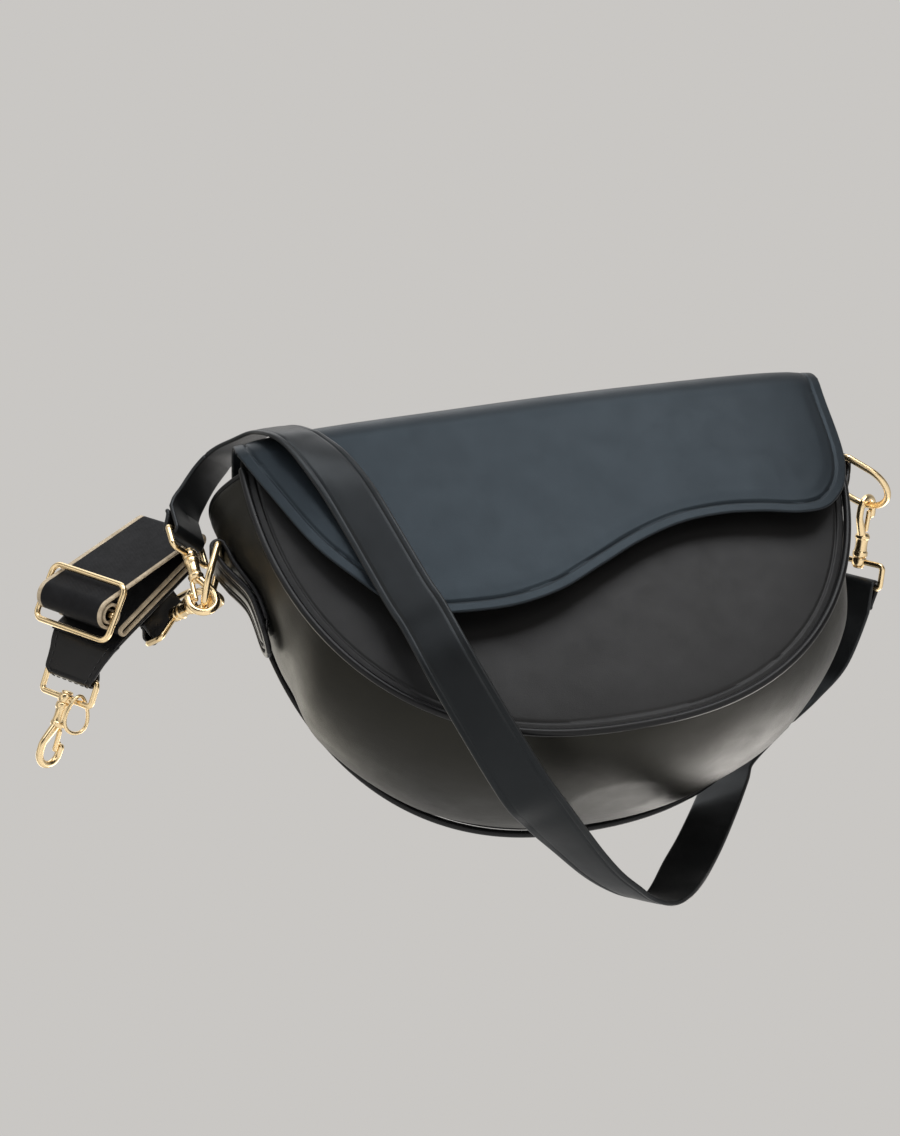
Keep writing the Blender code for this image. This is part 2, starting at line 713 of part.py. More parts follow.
def hook_body_mesh(group, looks):
    low = -(RING_WIRE_RADIUS + HOOK_GAP + HOOK_WIRE_RADIUS)
    middle = low + HOOK_EYE_RADIUS
    path = [Vector((-HOOK_EYE_RADIUS, 0, middle + HOOK_WIRE_RADIUS * 1.6))]
    for k in range(11):
        turn = math.pi * k / 10
        path.append(Vector((-HOOK_EYE_RADIUS * math.cos(turn), 0,
                            middle - HOOK_EYE_RADIUS * math.sin(turn))))
    path.append(Vector((HOOK_EYE_RADIUS * 0.98, 0, middle + HOOK_EYE_RADIUS * 0.6)))
    path.append(Vector((HOOK_EYE_RADIUS * 0.66, 0, middle + HOOK_EYE_RADIUS * 1.25)))
    path.append(Vector((HOOK_EYE_RADIUS * 0.18, 0, HOOK_SHANK_TOP)))
    hook = meshed(wire("hook", path, HOOK_WIRE_RADIUS, group, looks["gold"], sides=2), group)
    neck = cylinder("neck", HOOK_NECK_RADIUS, HOOK_NECK_FOOT, HOOK_NECK_TOP, group, looks["gold"])
    head_foot = HOOK_NECK_TOP + 2 * HOOK_GAP + BOSS_HEIGHT
    post = cylinder("post", HOOK_POST_RADIUS, HOOK_NECK_TOP - HOOK_WIRE_RADIUS,
                    head_foot + HOOK_HEAD_THICKNESS / 2, group, looks["gold"], sides=12)
    head = cylinder("head", HOOK_HEAD_RADIUS, head_foot, head_foot + HOOK_HEAD_THICKNESS,
                    group, looks["gold"])
    for tool in (neck, post, head):
        cut(hook, tool, "UNION")
    return settled(hook, (neck, post, head), group)


def gate_ends():
    low = -(RING_WIRE_RADIUS + HOOK_GAP + HOOK_WIRE_RADIUS)
    tip = low + HOOK_EYE_RADIUS + HOOK_WIRE_RADIUS * 1.6
    foot = Vector((-HOOK_EYE_RADIUS + HOOK_WIRE_RADIUS + HOOK_GAP + GATE_RADIUS, 0, tip - GATE_RADIUS))
    top = Vector((-HOOK_NECK_RADIUS + GATE_RADIUS, 0, HOOK_NECK_FOOT - GATE_RADIUS - HOOK_GAP))
    return foot, top


def gate_mesh(group, looks):
    foot, top = gate_ends()
    knee = foot + Vector((0, 0, (top.z - foot.z) * 0.25))
    path = [foot, knee, top]
    return meshed(wire("gate", path, GATE_RADIUS, group, looks["gold"], sides=2), group)


def loop_mesh(inner_width, group, looks):
    """The strap's rectangular loop with the swivel boss in its lower bar."""
    half = inner_width / 2 + LOOP_WIRE_RADIUS
    centres = [(half - LOOP_CORNER, LOOP_FOOT + LOOP_CORNER, -90),
               (half - LOOP_CORNER, LOOP_TOP - LOOP_CORNER, 0),
               (-half + LOOP_CORNER, LOOP_TOP - LOOP_CORNER, 90),
               (-half + LOOP_CORNER, LOOP_FOOT + LOOP_CORNER, 180)]
    path = []
    for y, z, start in centres:
        for k in range(4):
            turn = math.radians(start + 90 * k / 3)
            path.append(Vector((0, y + LOOP_CORNER * math.cos(turn),
                                z + LOOP_CORNER * math.sin(turn))))
    loop = meshed(wire("loop", path, LOOP_WIRE_RADIUS, group, looks["gold"], cyclic=True), group)
    boss = cylinder("boss", BOSS_RADIUS, HOOK_NECK_TOP + HOOK_GAP,
                    HOOK_NECK_TOP + HOOK_GAP + BOSS_HEIGHT, group, looks["gold"])
    bore = cylinder("bore", HOOK_POST_RADIUS + HOOK_GAP, HOOK_NECK_TOP - BOSS_HEIGHT,
                    HOOK_NECK_TOP + BOSS_HEIGHT * 3, group, looks["gold"], sides=12)
    cut(loop, boss, "UNION")
    cut(loop, bore, "DIFFERENCE")
    return settled(loop, (boss, bore), group)


def hook_on(ring, turn, aim_shares):
    """A hook on a ring's bow, its strap end towards aim."""
    seat, along = ring_seat(ring, turn)
    aim = Vector(aim_shares)
    up = (aim - along * aim.dot(along)).normalized()
    across = along.cross(up)
    return Matrix.Translation(seat) @ Matrix((across, up.cross(across), up)).transposed().to_4x4()


def hang_hook(prefix, matrix, models, group, looks, swivel=0.0):
    body, gate, loop = models
    for name, model, turn in (
        (prefix + "_body", body, 0.0), (prefix + "_gate", gate, 0.0), (prefix + "_loop", loop, swivel),
    ):
        thing = place(name, model.data.copy(), group, looks["gold"])
        thing.matrix_world = matrix @ Matrix.Rotation(turn, 4, "Z")
    return matrix @ Matrix.Rotation(swivel, 4, "Z")


def wrap_points(thickness, tail):
    """A strap's end round a bar at the origin: x and z from its tail to the way out up z."""
    radius = LOOP_WIRE_RADIUS + SEAT_GAP + thickness / 2
    sewn = radius - thickness - SEAT_GAP
    points = [(sewn, tail), (sewn, tail * 0.8), (-radius, radius * 0.7)]
    for k in range(7):
        turn = math.pi + math.pi * k / 6
        points.append((radius * math.cos(turn), radius * math.sin(turn)))
    return points + [(radius, tail * 0.6), (radius, tail * 1.1)]


def hooked_end(bar, thickness, tail):
    """The same end in the frame of a bar that lies on its Y axis, and the way across it."""
    side = bar.to_3x3() @ Vector((0, 1, 0))
    return [bar @ Vector((x, 0, z)) for x, z in wrap_points(thickness, tail)], side


def loop_bar(loop):
    """The frame of a loop's upper bar."""
    return loop @ Matrix.Translation(Vector((0, 0, LOOP_TOP)))


def make_leather_strap(left, right, group, looks):
    depth = BASE_DEPTH / 2
    tail = STRAP_WIDTH * 0.5
    start, start_side = hooked_end(loop_bar(left), STRAP_THICKNESS, tail)
    end, end_side = hooked_end(loop_bar(right), STRAP_THICKNESS, tail)
    middle = []
    for x, y, z, ax, ay, az in STRAP_ROUTE_SHARES:
        middle.append((x * HALF_WIDTH, y * depth, z * CORNER_HEIGHT, ax, ay, az))
    first = tuple(start[-1]) + tuple(start_side)
    last = tuple(end[-1]) + tuple(-end_side)
    track = catmull([first] + middle + [last], 2)
    points = [tuple(p) + tuple(start_side) for p in start[:-1]]
    points += track
    points += [tuple(p) + tuple(-end_side) for p in end[-2::-1]]
    centres = [Vector(p[:3]) for p in points]
    sides = [Vector(p[3:]) for p in points]
    rows = [[row[0], row[-1]] for row in ribbon_rows(centres, sides, STRAP_WIDTH)]
    sheet("leather_strap", rows, STRAP_THICKNESS, 0, group, looks["leather"])


# The folded webbing strap, in a frame of its own: X across the webbing, Y along it, Z off its face


def bundle_matrix():
    pivot = ring_pivot(-1)
    depth = BUNDLE_DEPTH_SHARE * BASE_DEPTH / 2
    corner = Vector((pivot.x - BUNDLE_OUT, depth, pivot.z + BUNDLE_RISE))
    across = Vector(BUNDLE_ACROSS_SHARES).normalized()
    along = Vector(BUNDLE_ALONG_SHARES)
    along = (along - across * along.dot(across)).normalized()
    return Matrix.Translation(corner) @ Matrix((across, along, across.cross(along))).transposed().to_4x4()


def flat_strip(name, path, widths, thickness, matrix, group, material):
    centres = [Vector((0, v, w)) for v, w in path]
    across = [Vector((1, 0, 0))] * len(centres)
    thing = sheet(name, ribbon_rows(centres, across, widths), thickness, 0, group, material)
    thing.matrix_world = matrix
    return thing


def glide_middle():
    return -WEB_ROLL_RADIUS - WEB_THICKNESS, -WEB_ROLL_RADIUS - WEB_THICKNESS / 2


def webbing_path():
    """The roll on the glide's bar, the long top run, then runs folded back and forth."""
    v0, w0 = glide_middle()
    path = []
    steps = 30
    for k in range(steps + 1):
        t = k / steps
        turn = math.pi / 2 + 2 * math.pi * WEB_ROLL_TURNS * (1 - t)
        radius = WEB_ROLL_CORE + (WEB_ROLL_RADIUS - WEB_ROLL_CORE) * t
        path.append((v0 + radius * math.cos(turn), w0 + radius * math.sin(turn)))
    top, second, third = WEB_RIGHT_LEVELS
    upper, lower = WEB_LEFT_LEVELS
    path.append((WEB_RUN / 2, -top))
    path += fold(WEB_RUN, -top, -second, 1)
    path += fold(-WEB_FOLD_END, -upper, -lower, -1)
    path.append((WEB_RUN, -third))
    print("least gap of the webbing to itself:", own_gap(path, WEB_THICKNESS))
    return path


def own_gap(path, thickness):
    """The least gap between points of one path that lie more than a roll's width apart on it."""
    fine = catmull(path, 6)
    steps = [math.dist(a, b) for a, b in zip(fine, fine[1:])]
    least = None
    for i, a in enumerate(fine):
        run = 0.0
        for k in range(i, len(steps)):
            run += steps[k]
            if run < 2 * WEB_ROLL_RADIUS:
                continue
            gap = math.dist(a, fine[k + 1]) - thickness
            least = gap if least is None else min(least, gap)
    return least


def fold(end, first, last, heading):
    """Half a turn of webbing between two levels at one end of the stack."""
    radius = (first - last) / 2
    points = []
    for k in range(7):
        turn = math.pi / 2 - math.pi * k / 6
        points.append((end + heading * radius * math.cos(turn), last + radius + radius * math.sin(turn)))
    return points


def back_line(offset):
    """The stack's slanted back, moved out by offset: its right and left ends as Y and Z."""
    right = Vector((WEB_RUN, -WEB_RIGHT_LEVELS[2]))
    left = Vector((-WEB_FOLD_END, -WEB_LEFT_LEVELS[1]))
    along = (right - left).normalized()
    out = Vector((along.y, -along.x)) * offset
    return right + out, left + out, along


def make_bundle(group, looks):
    """The webbing rolled on its glide and folded in a stack, and the free leather end under it."""
    matrix = bundle_matrix()
    flat_strip("webbing", webbing_path(), WEB_WIDTH, WEB_THICKNESS, matrix, group, looks["webbing"])
    make_glide(matrix, group, looks)
    return matrix


def back_frame(matrix, layers):
    """A point and the outward normal of the plane that many leather layers behind the stack."""
    offset = WEB_THICKNESS / 2 + SEAT_GAP + CHAPE_THICKNESS / 2
    offset += (layers - 1) * (CHAPE_THICKNESS + SEAT_GAP)
    right, left, along = back_line(offset)
    normal = matrix.to_3x3() @ Vector((0, -along.y, along.x))
    middle = (right + left) / 2
    return matrix @ Vector((0, middle.x, middle.y)), normal


def make_inner_chape(matrix, hook_loop, group, looks):
    """The other leather end, from its hook's loop up to the stack's back, bent about one axis."""
    point, normal = back_frame(matrix, 2)
    bar = loop_bar(hook_loop)
    centre = bar.translation
    side = (bar.to_3x3() @ Vector((0, 1, 0))).normalized()
    flat = normal.cross(side).normalized()
    if flat.dot(bar.to_3x3() @ Vector((0, 0, 1))) < 0:
        flat = -flat
    rise = (point - centre).dot(normal)
    up = flat * math.cos(INNER_CHAPE_RISE) + normal * math.sin(INNER_CHAPE_RISE)
    frame = Matrix.Translation(centre) @ Matrix((side.cross(up), side, up)).transposed().to_4x4()
    wrap, side = hooked_end(frame, CHAPE_THICKNESS, CHAPE_TAIL)
    knots = [tuple(wrap[-1])]
    for a, n in INNER_CHAPE_SHARES:
        knots.append(tuple(centre + flat * rise * a + normal * rise * n))
    centres = wrap[:-1] + [Vector(p) for p in catmull(knots, 3)]
    rows = ribbon_rows(centres, [side] * len(centres), CHAPE_END_WIDTH)
    sheet("inner_chape", rows, CHAPE_THICKNESS, 0, group, looks["leather"])


def make_glide(matrix, group, looks):
    """The oblong frame round the roll, and the bar that the roll is wound on."""
    v0, w0 = glide_middle()
    half = WEB_WIDTH / 2 + GLIDE_WIRE_RADIUS + SEAT_GAP * 4
    reach, lean = GLIDE_REACH, GLIDE_LEAN
    shift = WEB_THICKNESS / 2
    corner = GLIDE_WIRE_RADIUS * 3
    path = []
    for x, s, start in ((half, reach, 0), (-half, reach, 90), (-half, -reach, 180), (half, -reach, 270)):
        cx, cs = x - math.copysign(corner, x), s - math.copysign(corner, s)
        for k in range(4):
            turn = math.radians(start + 30 * k)
            px = cx + corner * math.cos(turn)
            ps = cs + corner * math.sin(turn)
            path.append(Vector((px, v0 + shift + ps * math.sin(lean), w0 + shift + ps * math.cos(lean))))
    frame = wire("glide_frame", path, GLIDE_WIRE_RADIUS, group, looks["gold"], cyclic=True)
    frame.matrix_world = matrix
    end = half - GLIDE_WIRE_RADIUS - SEAT_GAP
    bar = wire("glide_bar", [Vector((-end, v0, w0)), Vector((end, v0, w0))], GLIDE_BAR_RADIUS,
               group, looks["gold"])
    bar.matrix_world = matrix


def make_free_end(matrix, group, looks):
    """The webbing's free leather end: under the stack, then down and round its hook's loop."""
    right, left, slope = back_line(WEB_THICKNESS / 2 + SEAT_GAP + CHAPE_THICKNESS / 2)
    knots = [tuple(right), tuple(left - slope * WEB_FOLD_END)]
    heading = -slope
    for turn in CHAPE_BEND_TURNS:
        here = Vector(knots[-1])
        heading = Matrix.Rotation(turn, 2) @ heading
        knots.append(tuple(here + heading * WEB_ROLL_RADIUS * 0.9))
    path = [knots[0]] + catmull(knots[1:], 2)
    radius = LOOP_WIRE_RADIUS + SEAT_GAP + CHAPE_THICKNESS / 2
    slope = (Vector(path[-1]) - Vector(path[-2])).normalized()
    across = Vector((-slope.y, slope.x))
    centre = Vector(path[-1]) + across * radius + slope * CHAPE_TAIL * 1.1
    for x, z in wrap_points(CHAPE_THICKNESS, CHAPE_TAIL)[::-1][1:]:
        path.append(tuple(centre - across * x - slope * z))
    widths = []
    for k in range(len(path)):
        share = min(max((k - 2) / 7, 0.0), 1.0)
        widths.append(WEB_WIDTH + (CHAPE_END_WIDTH - WEB_WIDTH) * share)
    flat_strip("free_chape", path, widths, CHAPE_THICKNESS, matrix, group, looks["leather"])
    return matrix @ Vector((0, centre.x, centre.y)), (matrix.to_3x3() @ Vector((1, 0, 0))).normalized()


def make_teardrop(loop, group, looks):
    """A small wire ring that hangs round the foot of the free hook's loop."""
    top = LOOP_WIRE_RADIUS + SEAT_GAP * 3 + TEARDROP_WIRE_RADIUS
    path = []
    for k in range(20):
        turn = 2 * math.pi * k / 20
        width = TEARDROP_HALF_WIDTH * math.sin(turn) * (1 - 0.3 * math.cos(turn))
        path.append(Vector((0, width, top + TEARDROP_HEIGHT / 2 * (math.cos(turn) - 1))))
    ring = wire("teardrop_ring", path, TEARDROP_WIRE_RADIUS, group, looks["gold"], cyclic=True, sides=1)
    face = Vector(TEARDROP_FACE_SHARES).normalized()
    up = (Vector((0, 0, 1)) - face * face.z).normalized()
    seat = loop @ Vector((0, WEB_LOOP_INNER_WIDTH * 0.3, LOOP_FOOT))
    ring.matrix_world = Matrix.Translation(seat) @ Matrix((face, up.cross(face), up)).transposed().to_4x4()


def build():
    clear_scene()
    group = collection("half_moon_bag")
    looks = {
        "leather": finish("leather", (0.018, 0.018, 0.020), 0.42),
        "lining": finish("lining", (0.045, 0.042, 0.040), 0.85),
        "webbing": finish("webbing", (0.020, 0.020, 0.021), 0.75),
        "gold": finish("gold", (0.86, 0.68, 0.42), 0.22, 1.0),
    }
    make_body(group, looks)
    make_flap(group, looks)
    make_snap(group, looks)
    for name, side, lean in (("left", -1, LEFT_RING_LEAN), ("right", 1, RIGHT_RING_LEAN)):
        make_tab(name + "_tab", side, group, looks)
        ring = wire(name + "_ring", ring_outline(), RING_WIRE_RADIUS, group, looks["gold"], cyclic=True)
        ring.matrix_world = ring_matrix(side, lean)
    body, gate = hook_body_mesh(group, looks), gate_mesh(group, looks)
    narrow = (body, gate, loop_mesh(LOOP_INNER_WIDTH, group, looks))
    wide = (body, gate, loop_mesh(WEB_LOOP_INNER_WIDTH, group, looks))
    left = ring_matrix(-1, LEFT_RING_LEAN)
    right = ring_matrix(1, RIGHT_RING_LEAN)
    hook = hook_on(left, LEFT_CLIP_SEAT, LEFT_CLIP_AIM_SHARES)
    strap_left = hang_hook("left_clip", hook, narrow, group, looks, LEFT_CLIP_SWIVEL)
    hook = hook_on(right, RIGHT_CLIP_SEAT, RIGHT_CLIP_AIM_SHARES)
    strap_right = hang_hook("right_clip", hook, narrow, group, looks)
    make_leather_strap(strap_left, strap_right, group, looks)
    bundle = make_bundle(group, looks)
    hook = hook_on(left, WEB_CLIP_SEAT, WEB_CLIP_AIM_SHARES)
    bar = hook.inverted().to_3x3() @ hook.col[2].to_3d().cross(back_frame(bundle, 2)[1])
    web = hang_hook("web_clip", hook, wide, group, looks, math.atan2(-bar.x, bar.y))
    make_inner_chape(bundle, web, group, looks)
    bar, across = make_free_end(bundle, group, looks)
    up = Vector(FREE_CLIP_UP_SHARES)
    up = (up - across * up.dot(across)).normalized()
    frame = Matrix((across.cross(up), across, up)).transposed().to_4x4()
    free = Matrix.Translation(bar) @ frame @ Matrix.Translation(Vector((0, 0, -LOOP_TOP)))
    free = hang_hook("free_clip", free, wide, group, looks)
    make_teardrop(free, group, looks)
    models = (body, gate, narrow[2], wide[2])
    for model in models:
        bpy.data.objects.remove(model, do_unlink=True)


build()
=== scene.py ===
# Half moon bag: leather body, wave edged flap, leather strap and a folded webbing strap.
# Metres, +Z up, the front of the bag faces -Y.

import logging
import math
from dataclasses import dataclass, field
from enum import Enum
from typing import Callable, Optional, Sequence

import bmesh
import bpy
import numpy as np
from mathutils import Matrix, Vector

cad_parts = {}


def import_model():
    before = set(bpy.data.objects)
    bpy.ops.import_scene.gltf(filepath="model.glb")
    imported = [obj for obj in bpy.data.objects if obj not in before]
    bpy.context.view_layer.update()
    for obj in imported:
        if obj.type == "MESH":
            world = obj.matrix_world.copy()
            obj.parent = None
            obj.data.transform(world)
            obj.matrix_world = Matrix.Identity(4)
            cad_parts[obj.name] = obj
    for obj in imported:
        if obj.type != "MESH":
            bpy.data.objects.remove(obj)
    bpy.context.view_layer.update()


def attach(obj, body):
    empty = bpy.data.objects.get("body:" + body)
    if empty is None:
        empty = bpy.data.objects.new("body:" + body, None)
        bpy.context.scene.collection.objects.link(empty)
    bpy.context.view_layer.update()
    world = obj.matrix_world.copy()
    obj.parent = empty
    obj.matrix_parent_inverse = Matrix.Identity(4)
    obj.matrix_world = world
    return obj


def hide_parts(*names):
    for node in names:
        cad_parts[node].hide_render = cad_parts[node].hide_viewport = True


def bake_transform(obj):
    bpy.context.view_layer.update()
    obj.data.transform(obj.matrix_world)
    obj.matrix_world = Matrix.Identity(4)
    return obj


LOG = logging.getLogger("half_moon_bag")
Array = np.ndarray
Color = Point = tuple[float, float, float]
Pair = tuple[float, float]
Counts = tuple[int, int]
Object = bpy.types.Object
Material = bpy.types.Material
Socket = bpy.types.NodeSocket
MM = 0.001
UP = (0, 0, 1)
# Edges over this angle, in degrees, are drawn sharp.
SHARP_ANGLE = 55.0
# Radius of a turned shape at its axis, so that its cap keeps an area.
AXIS = 1e-5
# Angles in degrees of the rings in a wire's domed end.
DOME_ANGLES = (88, 66, 44, 22)
# Points of a grid that are measured against a line at once.
CHUNK = 4000


@dataclass(frozen=True)
class Sizes:
    """The part's own driving sizes, in metres."""

    half_width: float = 0.125
    panel_height: float = 0.146
    base_depth: float = 0.104
    top_depth: float = 0.062
    gusset_bulge: float = 0.010
    flat_foot: float = 0.0008
    gusset_swell: float = 0.004
    front_dome: float = 0.007
    back_dome: float = 0.005
    leather: float = 0.0016
    lining: float = 0.0007
    lining_inset: float = 0.0024
    lining_drop: float = 0.003
    gap: float = 0.0003
    panel_gap: float = 0.0004
    mouth_corner: float = 0.004
    piping: float = 0.0016
    ear_binding: float = 0.0012
    power_x: float = 2.39
    power_z: float = 2.22
    flap_half: float = 0.1275
    flap_rise: float = 0.016
    flap_drop: float = 0.108
    fold_radius: float = 0.016
    flap_standoff: float = 0.0038
    flap_lift: float = 0.003
    flap_skin: float = 0.0014
    flap_inner: float = 0.0008
    flap_ply_gap: float = 0.0011
    hinge_rise: float = 0.0013
    root_height: float = 0.016
    root_half: float = 0.118
    root_leather: float = 0.0014
    tab_width: float = 0.017
    tab_leather: float = 0.0020
    tab_length: float = 0.048
    tab_inner: float = 0.036
    ring_wire: float = 0.0015
    ring_half: float = 0.0125
    ring_leg: float = 0.0125
    pivot_height: float = 0.1355
    pivot_out: float = 0.13949
    tab_seat: float = 0.00045
    hook_wire: float = 0.0016
    hook_eye: float = 0.0056
    hook_gap: float = 0.0003
    shank_top: float = 0.0140
    neck_radius: float = 0.0034
    neck_foot: float = 0.0130
    neck_top: float = 0.0240
    post: float = 0.0015
    head: float = 0.0026
    head_thick: float = 0.0012
    gate: float = 0.0011
    boss: float = 0.0032
    boss_height: float = 0.0036
    loop_wire: float = 0.0013
    loop_height: float = 0.0080
    loop_corner: float = 0.0020
    strap_width: float = 0.019
    strap_thick: float = 0.0022
    web_width: float = 0.038
    web_thick: float = 0.0015
    web_run: float = 0.050
    web_fold_end: float = 0.003
    roll_core: float = 0.0026
    roll_radius: float = 0.0064
    roll_turns: float = 1.75
    chape: float = 0.0018
    chape_width: float = 0.0245

    @property
    def corner(self) -> float:
        """Height of the mouth."""
        return self.gusset_bulge + self.panel_height

    @property
    def flap_top(self) -> float:
        """Height of the flap's fold."""
        return self.corner + self.flap_rise


S = Sizes()

# Frames of the hardware in the bag's frame, three rows of four, as the part has them.
FRAMES: dict[str, tuple] = {
    "left_ring": ((0.92050, 0, 0.39073, -0.13949),
        (0, 1.00000, 0, 0), (-0.39073, 0, 0.92050, 0.13550)),
    "right_ring": ((0.71934, 0, -0.69466, 0.13949),
        (0, 1.00000, 0, 0), (0.69466, 0, 0.71934, 0.13550)),
    "left_clip": ((0.99563, -0.06112, -0.07054, -0.14920),
        (0.07053, 0.98769, 0.13963, -0.00196), (0.06114, -0.14400, 0.98769, 0.11263)),
    "left_clip_loop": ((0.82220, 0.56481, -0.07054, -0.14920),
        (-0.55250, 0.82173, 0.13963, -0.00196), (0.13683, -0.07583, 0.98769, 0.11263)),
    "right_clip": ((-0.77737, -0.60159, -0.18382, 0.15252),
        (-0.54591, 0.50000, 0.67229, 0.01083), (-0.31254, 0.62297, -0.71710, 0.12201)),
    "web_clip": ((-0.74270, 0.39049, -0.54397, -0.14454),
        (-0.57852, 0.03490, 0.81492, 0.01249), (0.33721, 0.91994, 0.19999, 0.12359)),
    "web_clip_loop": ((-0.61310, 0.57289, -0.54397, -0.14454),
        (-0.54873, 0.18655, 0.81492, 0.01249), (0.56834, 0.79812, 0.19999, 0.12359)),
    "free_clip": ((-0.64391, 0.64112, 0.41754, -0.22107),
        (-0.75629, -0.45079, -0.47414, 0.05622), (-0.11576, -0.62109, 0.77514, 0.08140)),
    "teardrop_ring": ((0.46288, 0.82828, 0.31574, -0.20498),
        (-0.68426, 0.56031, -0.46674, 0.04019), (-0.56350, 0, 0.82611, 0.09660)),
    "bundle": ((0.64112, 0.76129, -0.09694, -0.19387),
        (-0.45079, 0.27135, -0.85039, 0.01404), (-0.62109, 0.58890, 0.51715, 0.14009)),
    "snap_base": ((0.99976, 0.00231, -0.02164, -0.04000),
        (-0.02177, 0.10628, -0.99410, -0.04678), (0, 0.99433, 0.10630, 0.08400)),
    "snap_stud": ((0.99998, 0.00108, -0.00573, -0.04000),
        (-0.00583, 0.18483, -0.98275, -0.05408), (0, 0.98277, 0.18483, 0.08400)),
}
FRAMES["right_clip_loop"] = FRAMES["right_clip"]
FRAMES["free_clip_loop"] = FRAMES["free_clip"]

# How far the gusset stands out of its plain bulge, by height as a share of the mouth's.
SWELL = (
    (0.000, 0.00), (0.090, 0.00), (0.190, 0.45), (0.385, 0.80), (0.545, -0.85), (0.705, -1.55),
    (0.868, -0.15), (0.940, 0.60), (1.000, 1.00),
)

# The flap's free edge: X as a share of the half width, and the drop as a share of the whole.
FLAP_EDGE = (
    (-1.020, 0.09), (-0.945, 0.315), (-0.846, 0.587), (-0.733, 0.790), (-0.655, 0.905),
    (-0.560, 0.975), (-0.420, 1.000), (-0.270, 1.000), (-0.120, 0.960), (0.030, 0.878),
    (0.184, 0.793), (0.336, 0.737), (0.480, 0.722), (0.616, 0.734), (0.744, 0.758),
    (0.840, 0.745), (0.912, 0.680), (0.957, 0.600), (0.985, 0.500), (1.000, 0.380),
    (1.010, 0.220), (1.020, 0.090),
)

# The strap's way: a place in shares of the half width, the half depth and the mouth's height, then
# the direction across the strap.
STRAP_ROUTE = (
    (-1.170, 0.077, 1.070, 0.43, 0.89, -0.14), (-1.102, 0.029, 1.136, 0.47, 0.88, 0.01),
    (-1.022, -0.115, 1.172, 0.68, 0.69, 0.24), (-0.954, -0.346, 1.157, 0.83, 0.46, 0.30),
    (-0.888, -0.596, 1.122, 0.91, 0.34, 0.23), (-0.840, -0.856, 1.050, 0.91, 0.35, 0.22),
    (-0.797, -0.933, 0.994, 0.89, 0.30, 0.34), (-0.757, -1.000, 0.920, 0.93, 0.08, 0.35),
    (-0.715, -1.048, 0.825, 0.94, -0.13, 0.30), (-0.679, -1.115, 0.710, 0.90, -0.34, 0.27),
    (-0.615, -1.250, 0.479, 0.90, -0.34, 0.28), (-0.582, -1.298, 0.384, 0.90, -0.34, 0.26),
    (-0.526, -1.308, 0.211, 0.91, -0.33, 0.26), (-0.398, -1.077, -0.042, 0.89, -0.35, 0.29),
    (-0.307, -0.769, -0.113, 0.83, -0.56, 0.02), (-0.215, -0.442, -0.162, 0.72, -0.65, -0.24),
    (-0.129, -0.192, -0.210, 0.55, -0.77, -0.32), (-0.054, -0.058, -0.247, 0.37, -0.86, -0.34),
    (0.007, 0.019, -0.271, 0.28, -0.85, -0.45), (0.056, 0.077, -0.277, 0.49, -0.72, -0.50),
    (0.102, 0.154, -0.261, 0.72, -0.57, -0.39), (0.155, 0.269, -0.224, 0.82, -0.43, -0.37),
    (0.231, 0.481, -0.159, 0.83, -0.32, -0.46), (0.327, 0.712, -0.075, 0.83, -0.34, -0.44),
    (0.440, 0.962, 0.034, 0.83, -0.38, -0.41), (0.542, 1.154, 0.140, 0.82, -0.43, -0.38),
    (0.610, 1.260, 0.215, 0.81, -0.45, -0.38), (0.780, 1.290, 0.320, 0.82, -0.30, -0.48),
    (0.935, 1.270, 0.400, 0.78, -0.20, -0.58), (1.060, 1.170, 0.471, 0.70, -0.28, -0.62),
)

# The hidden leather end's middle line in the bag's frame, and the direction across it.
INNER_CHAPE_LINE = (
    (-0.16756, 0.03653, 0.13449), (-0.16689, 0.03765, 0.13375), (-0.16701, 0.04268, 0.13266),
    (-0.16623, 0.04399, 0.13180), (-0.16545, 0.04471, 0.13106), (-0.16441, 0.04482, 0.13030),
    (-0.16340, 0.04427, 0.12970), (-0.16269, 0.04323, 0.12943), (-0.16246, 0.04196, 0.12957),
    (-0.16279, 0.04081, 0.13007), (-0.16478, 0.03744, 0.13229), (-0.16644, 0.03463, 0.13413),
    (-0.16736, 0.03516, 0.13467), (-0.16864, 0.03586, 0.13543), (-0.16977, 0.03618, 0.13616),
    (-0.17048, 0.03573, 0.13678), (-0.17104, 0.03489, 0.13737), (-0.17171, 0.03429, 0.13799),
    (-0.17257, 0.03415, 0.13865), (-0.17355, 0.03424, 0.13933), (-0.17468, 0.03456, 0.14006),
    (-0.17616, 0.03526, 0.14096), (-0.17779, 0.03619, 0.14192), (-0.17895, 0.03686, 0.14259),
)
INNER_CHAPE_SIDE = (0.57289, 0.18654, 0.79812)

# The free leather end's middle line in the stack's frame, along the webbing and off its face.
FREE_CHAPE_LINE = (
    (0.05040, -0.01091), (-0.00554, -0.02252), (-0.00789, -0.02346), (-0.01081, -0.02484),
    (-0.01342, -0.02674), (-0.01537, -0.02836), (-0.01826, -0.03076), (-0.02172, -0.03363),
    (-0.02247, -0.03469), (-0.02259, -0.03597), (-0.02204, -0.03715), (-0.02099, -0.03790),
    (-0.01970, -0.03802), (-0.01852, -0.03748), (-0.01718, -0.03636), (-0.01576, -0.03141),
    (-0.01461, -0.03046),
)

# How far in from an edge the closer columns of the flap and of the strap lie, in millimetres.
FLAP_SIDE_COLUMNS = (
    0, 0.5, 1.0, 1.5, 2, 2.5, 3, 3.5, 4, 4.5, 5, 5.5, 6, 7, 8, 9.2, 10.5,
)
STRAP_HALF_COLUMNS = (0, 0.35, 0.7, 1.0, 1.3, 1.6, 1.9, 2.3, 3.2, 4.4, 5.8, 7.4, 9.5)

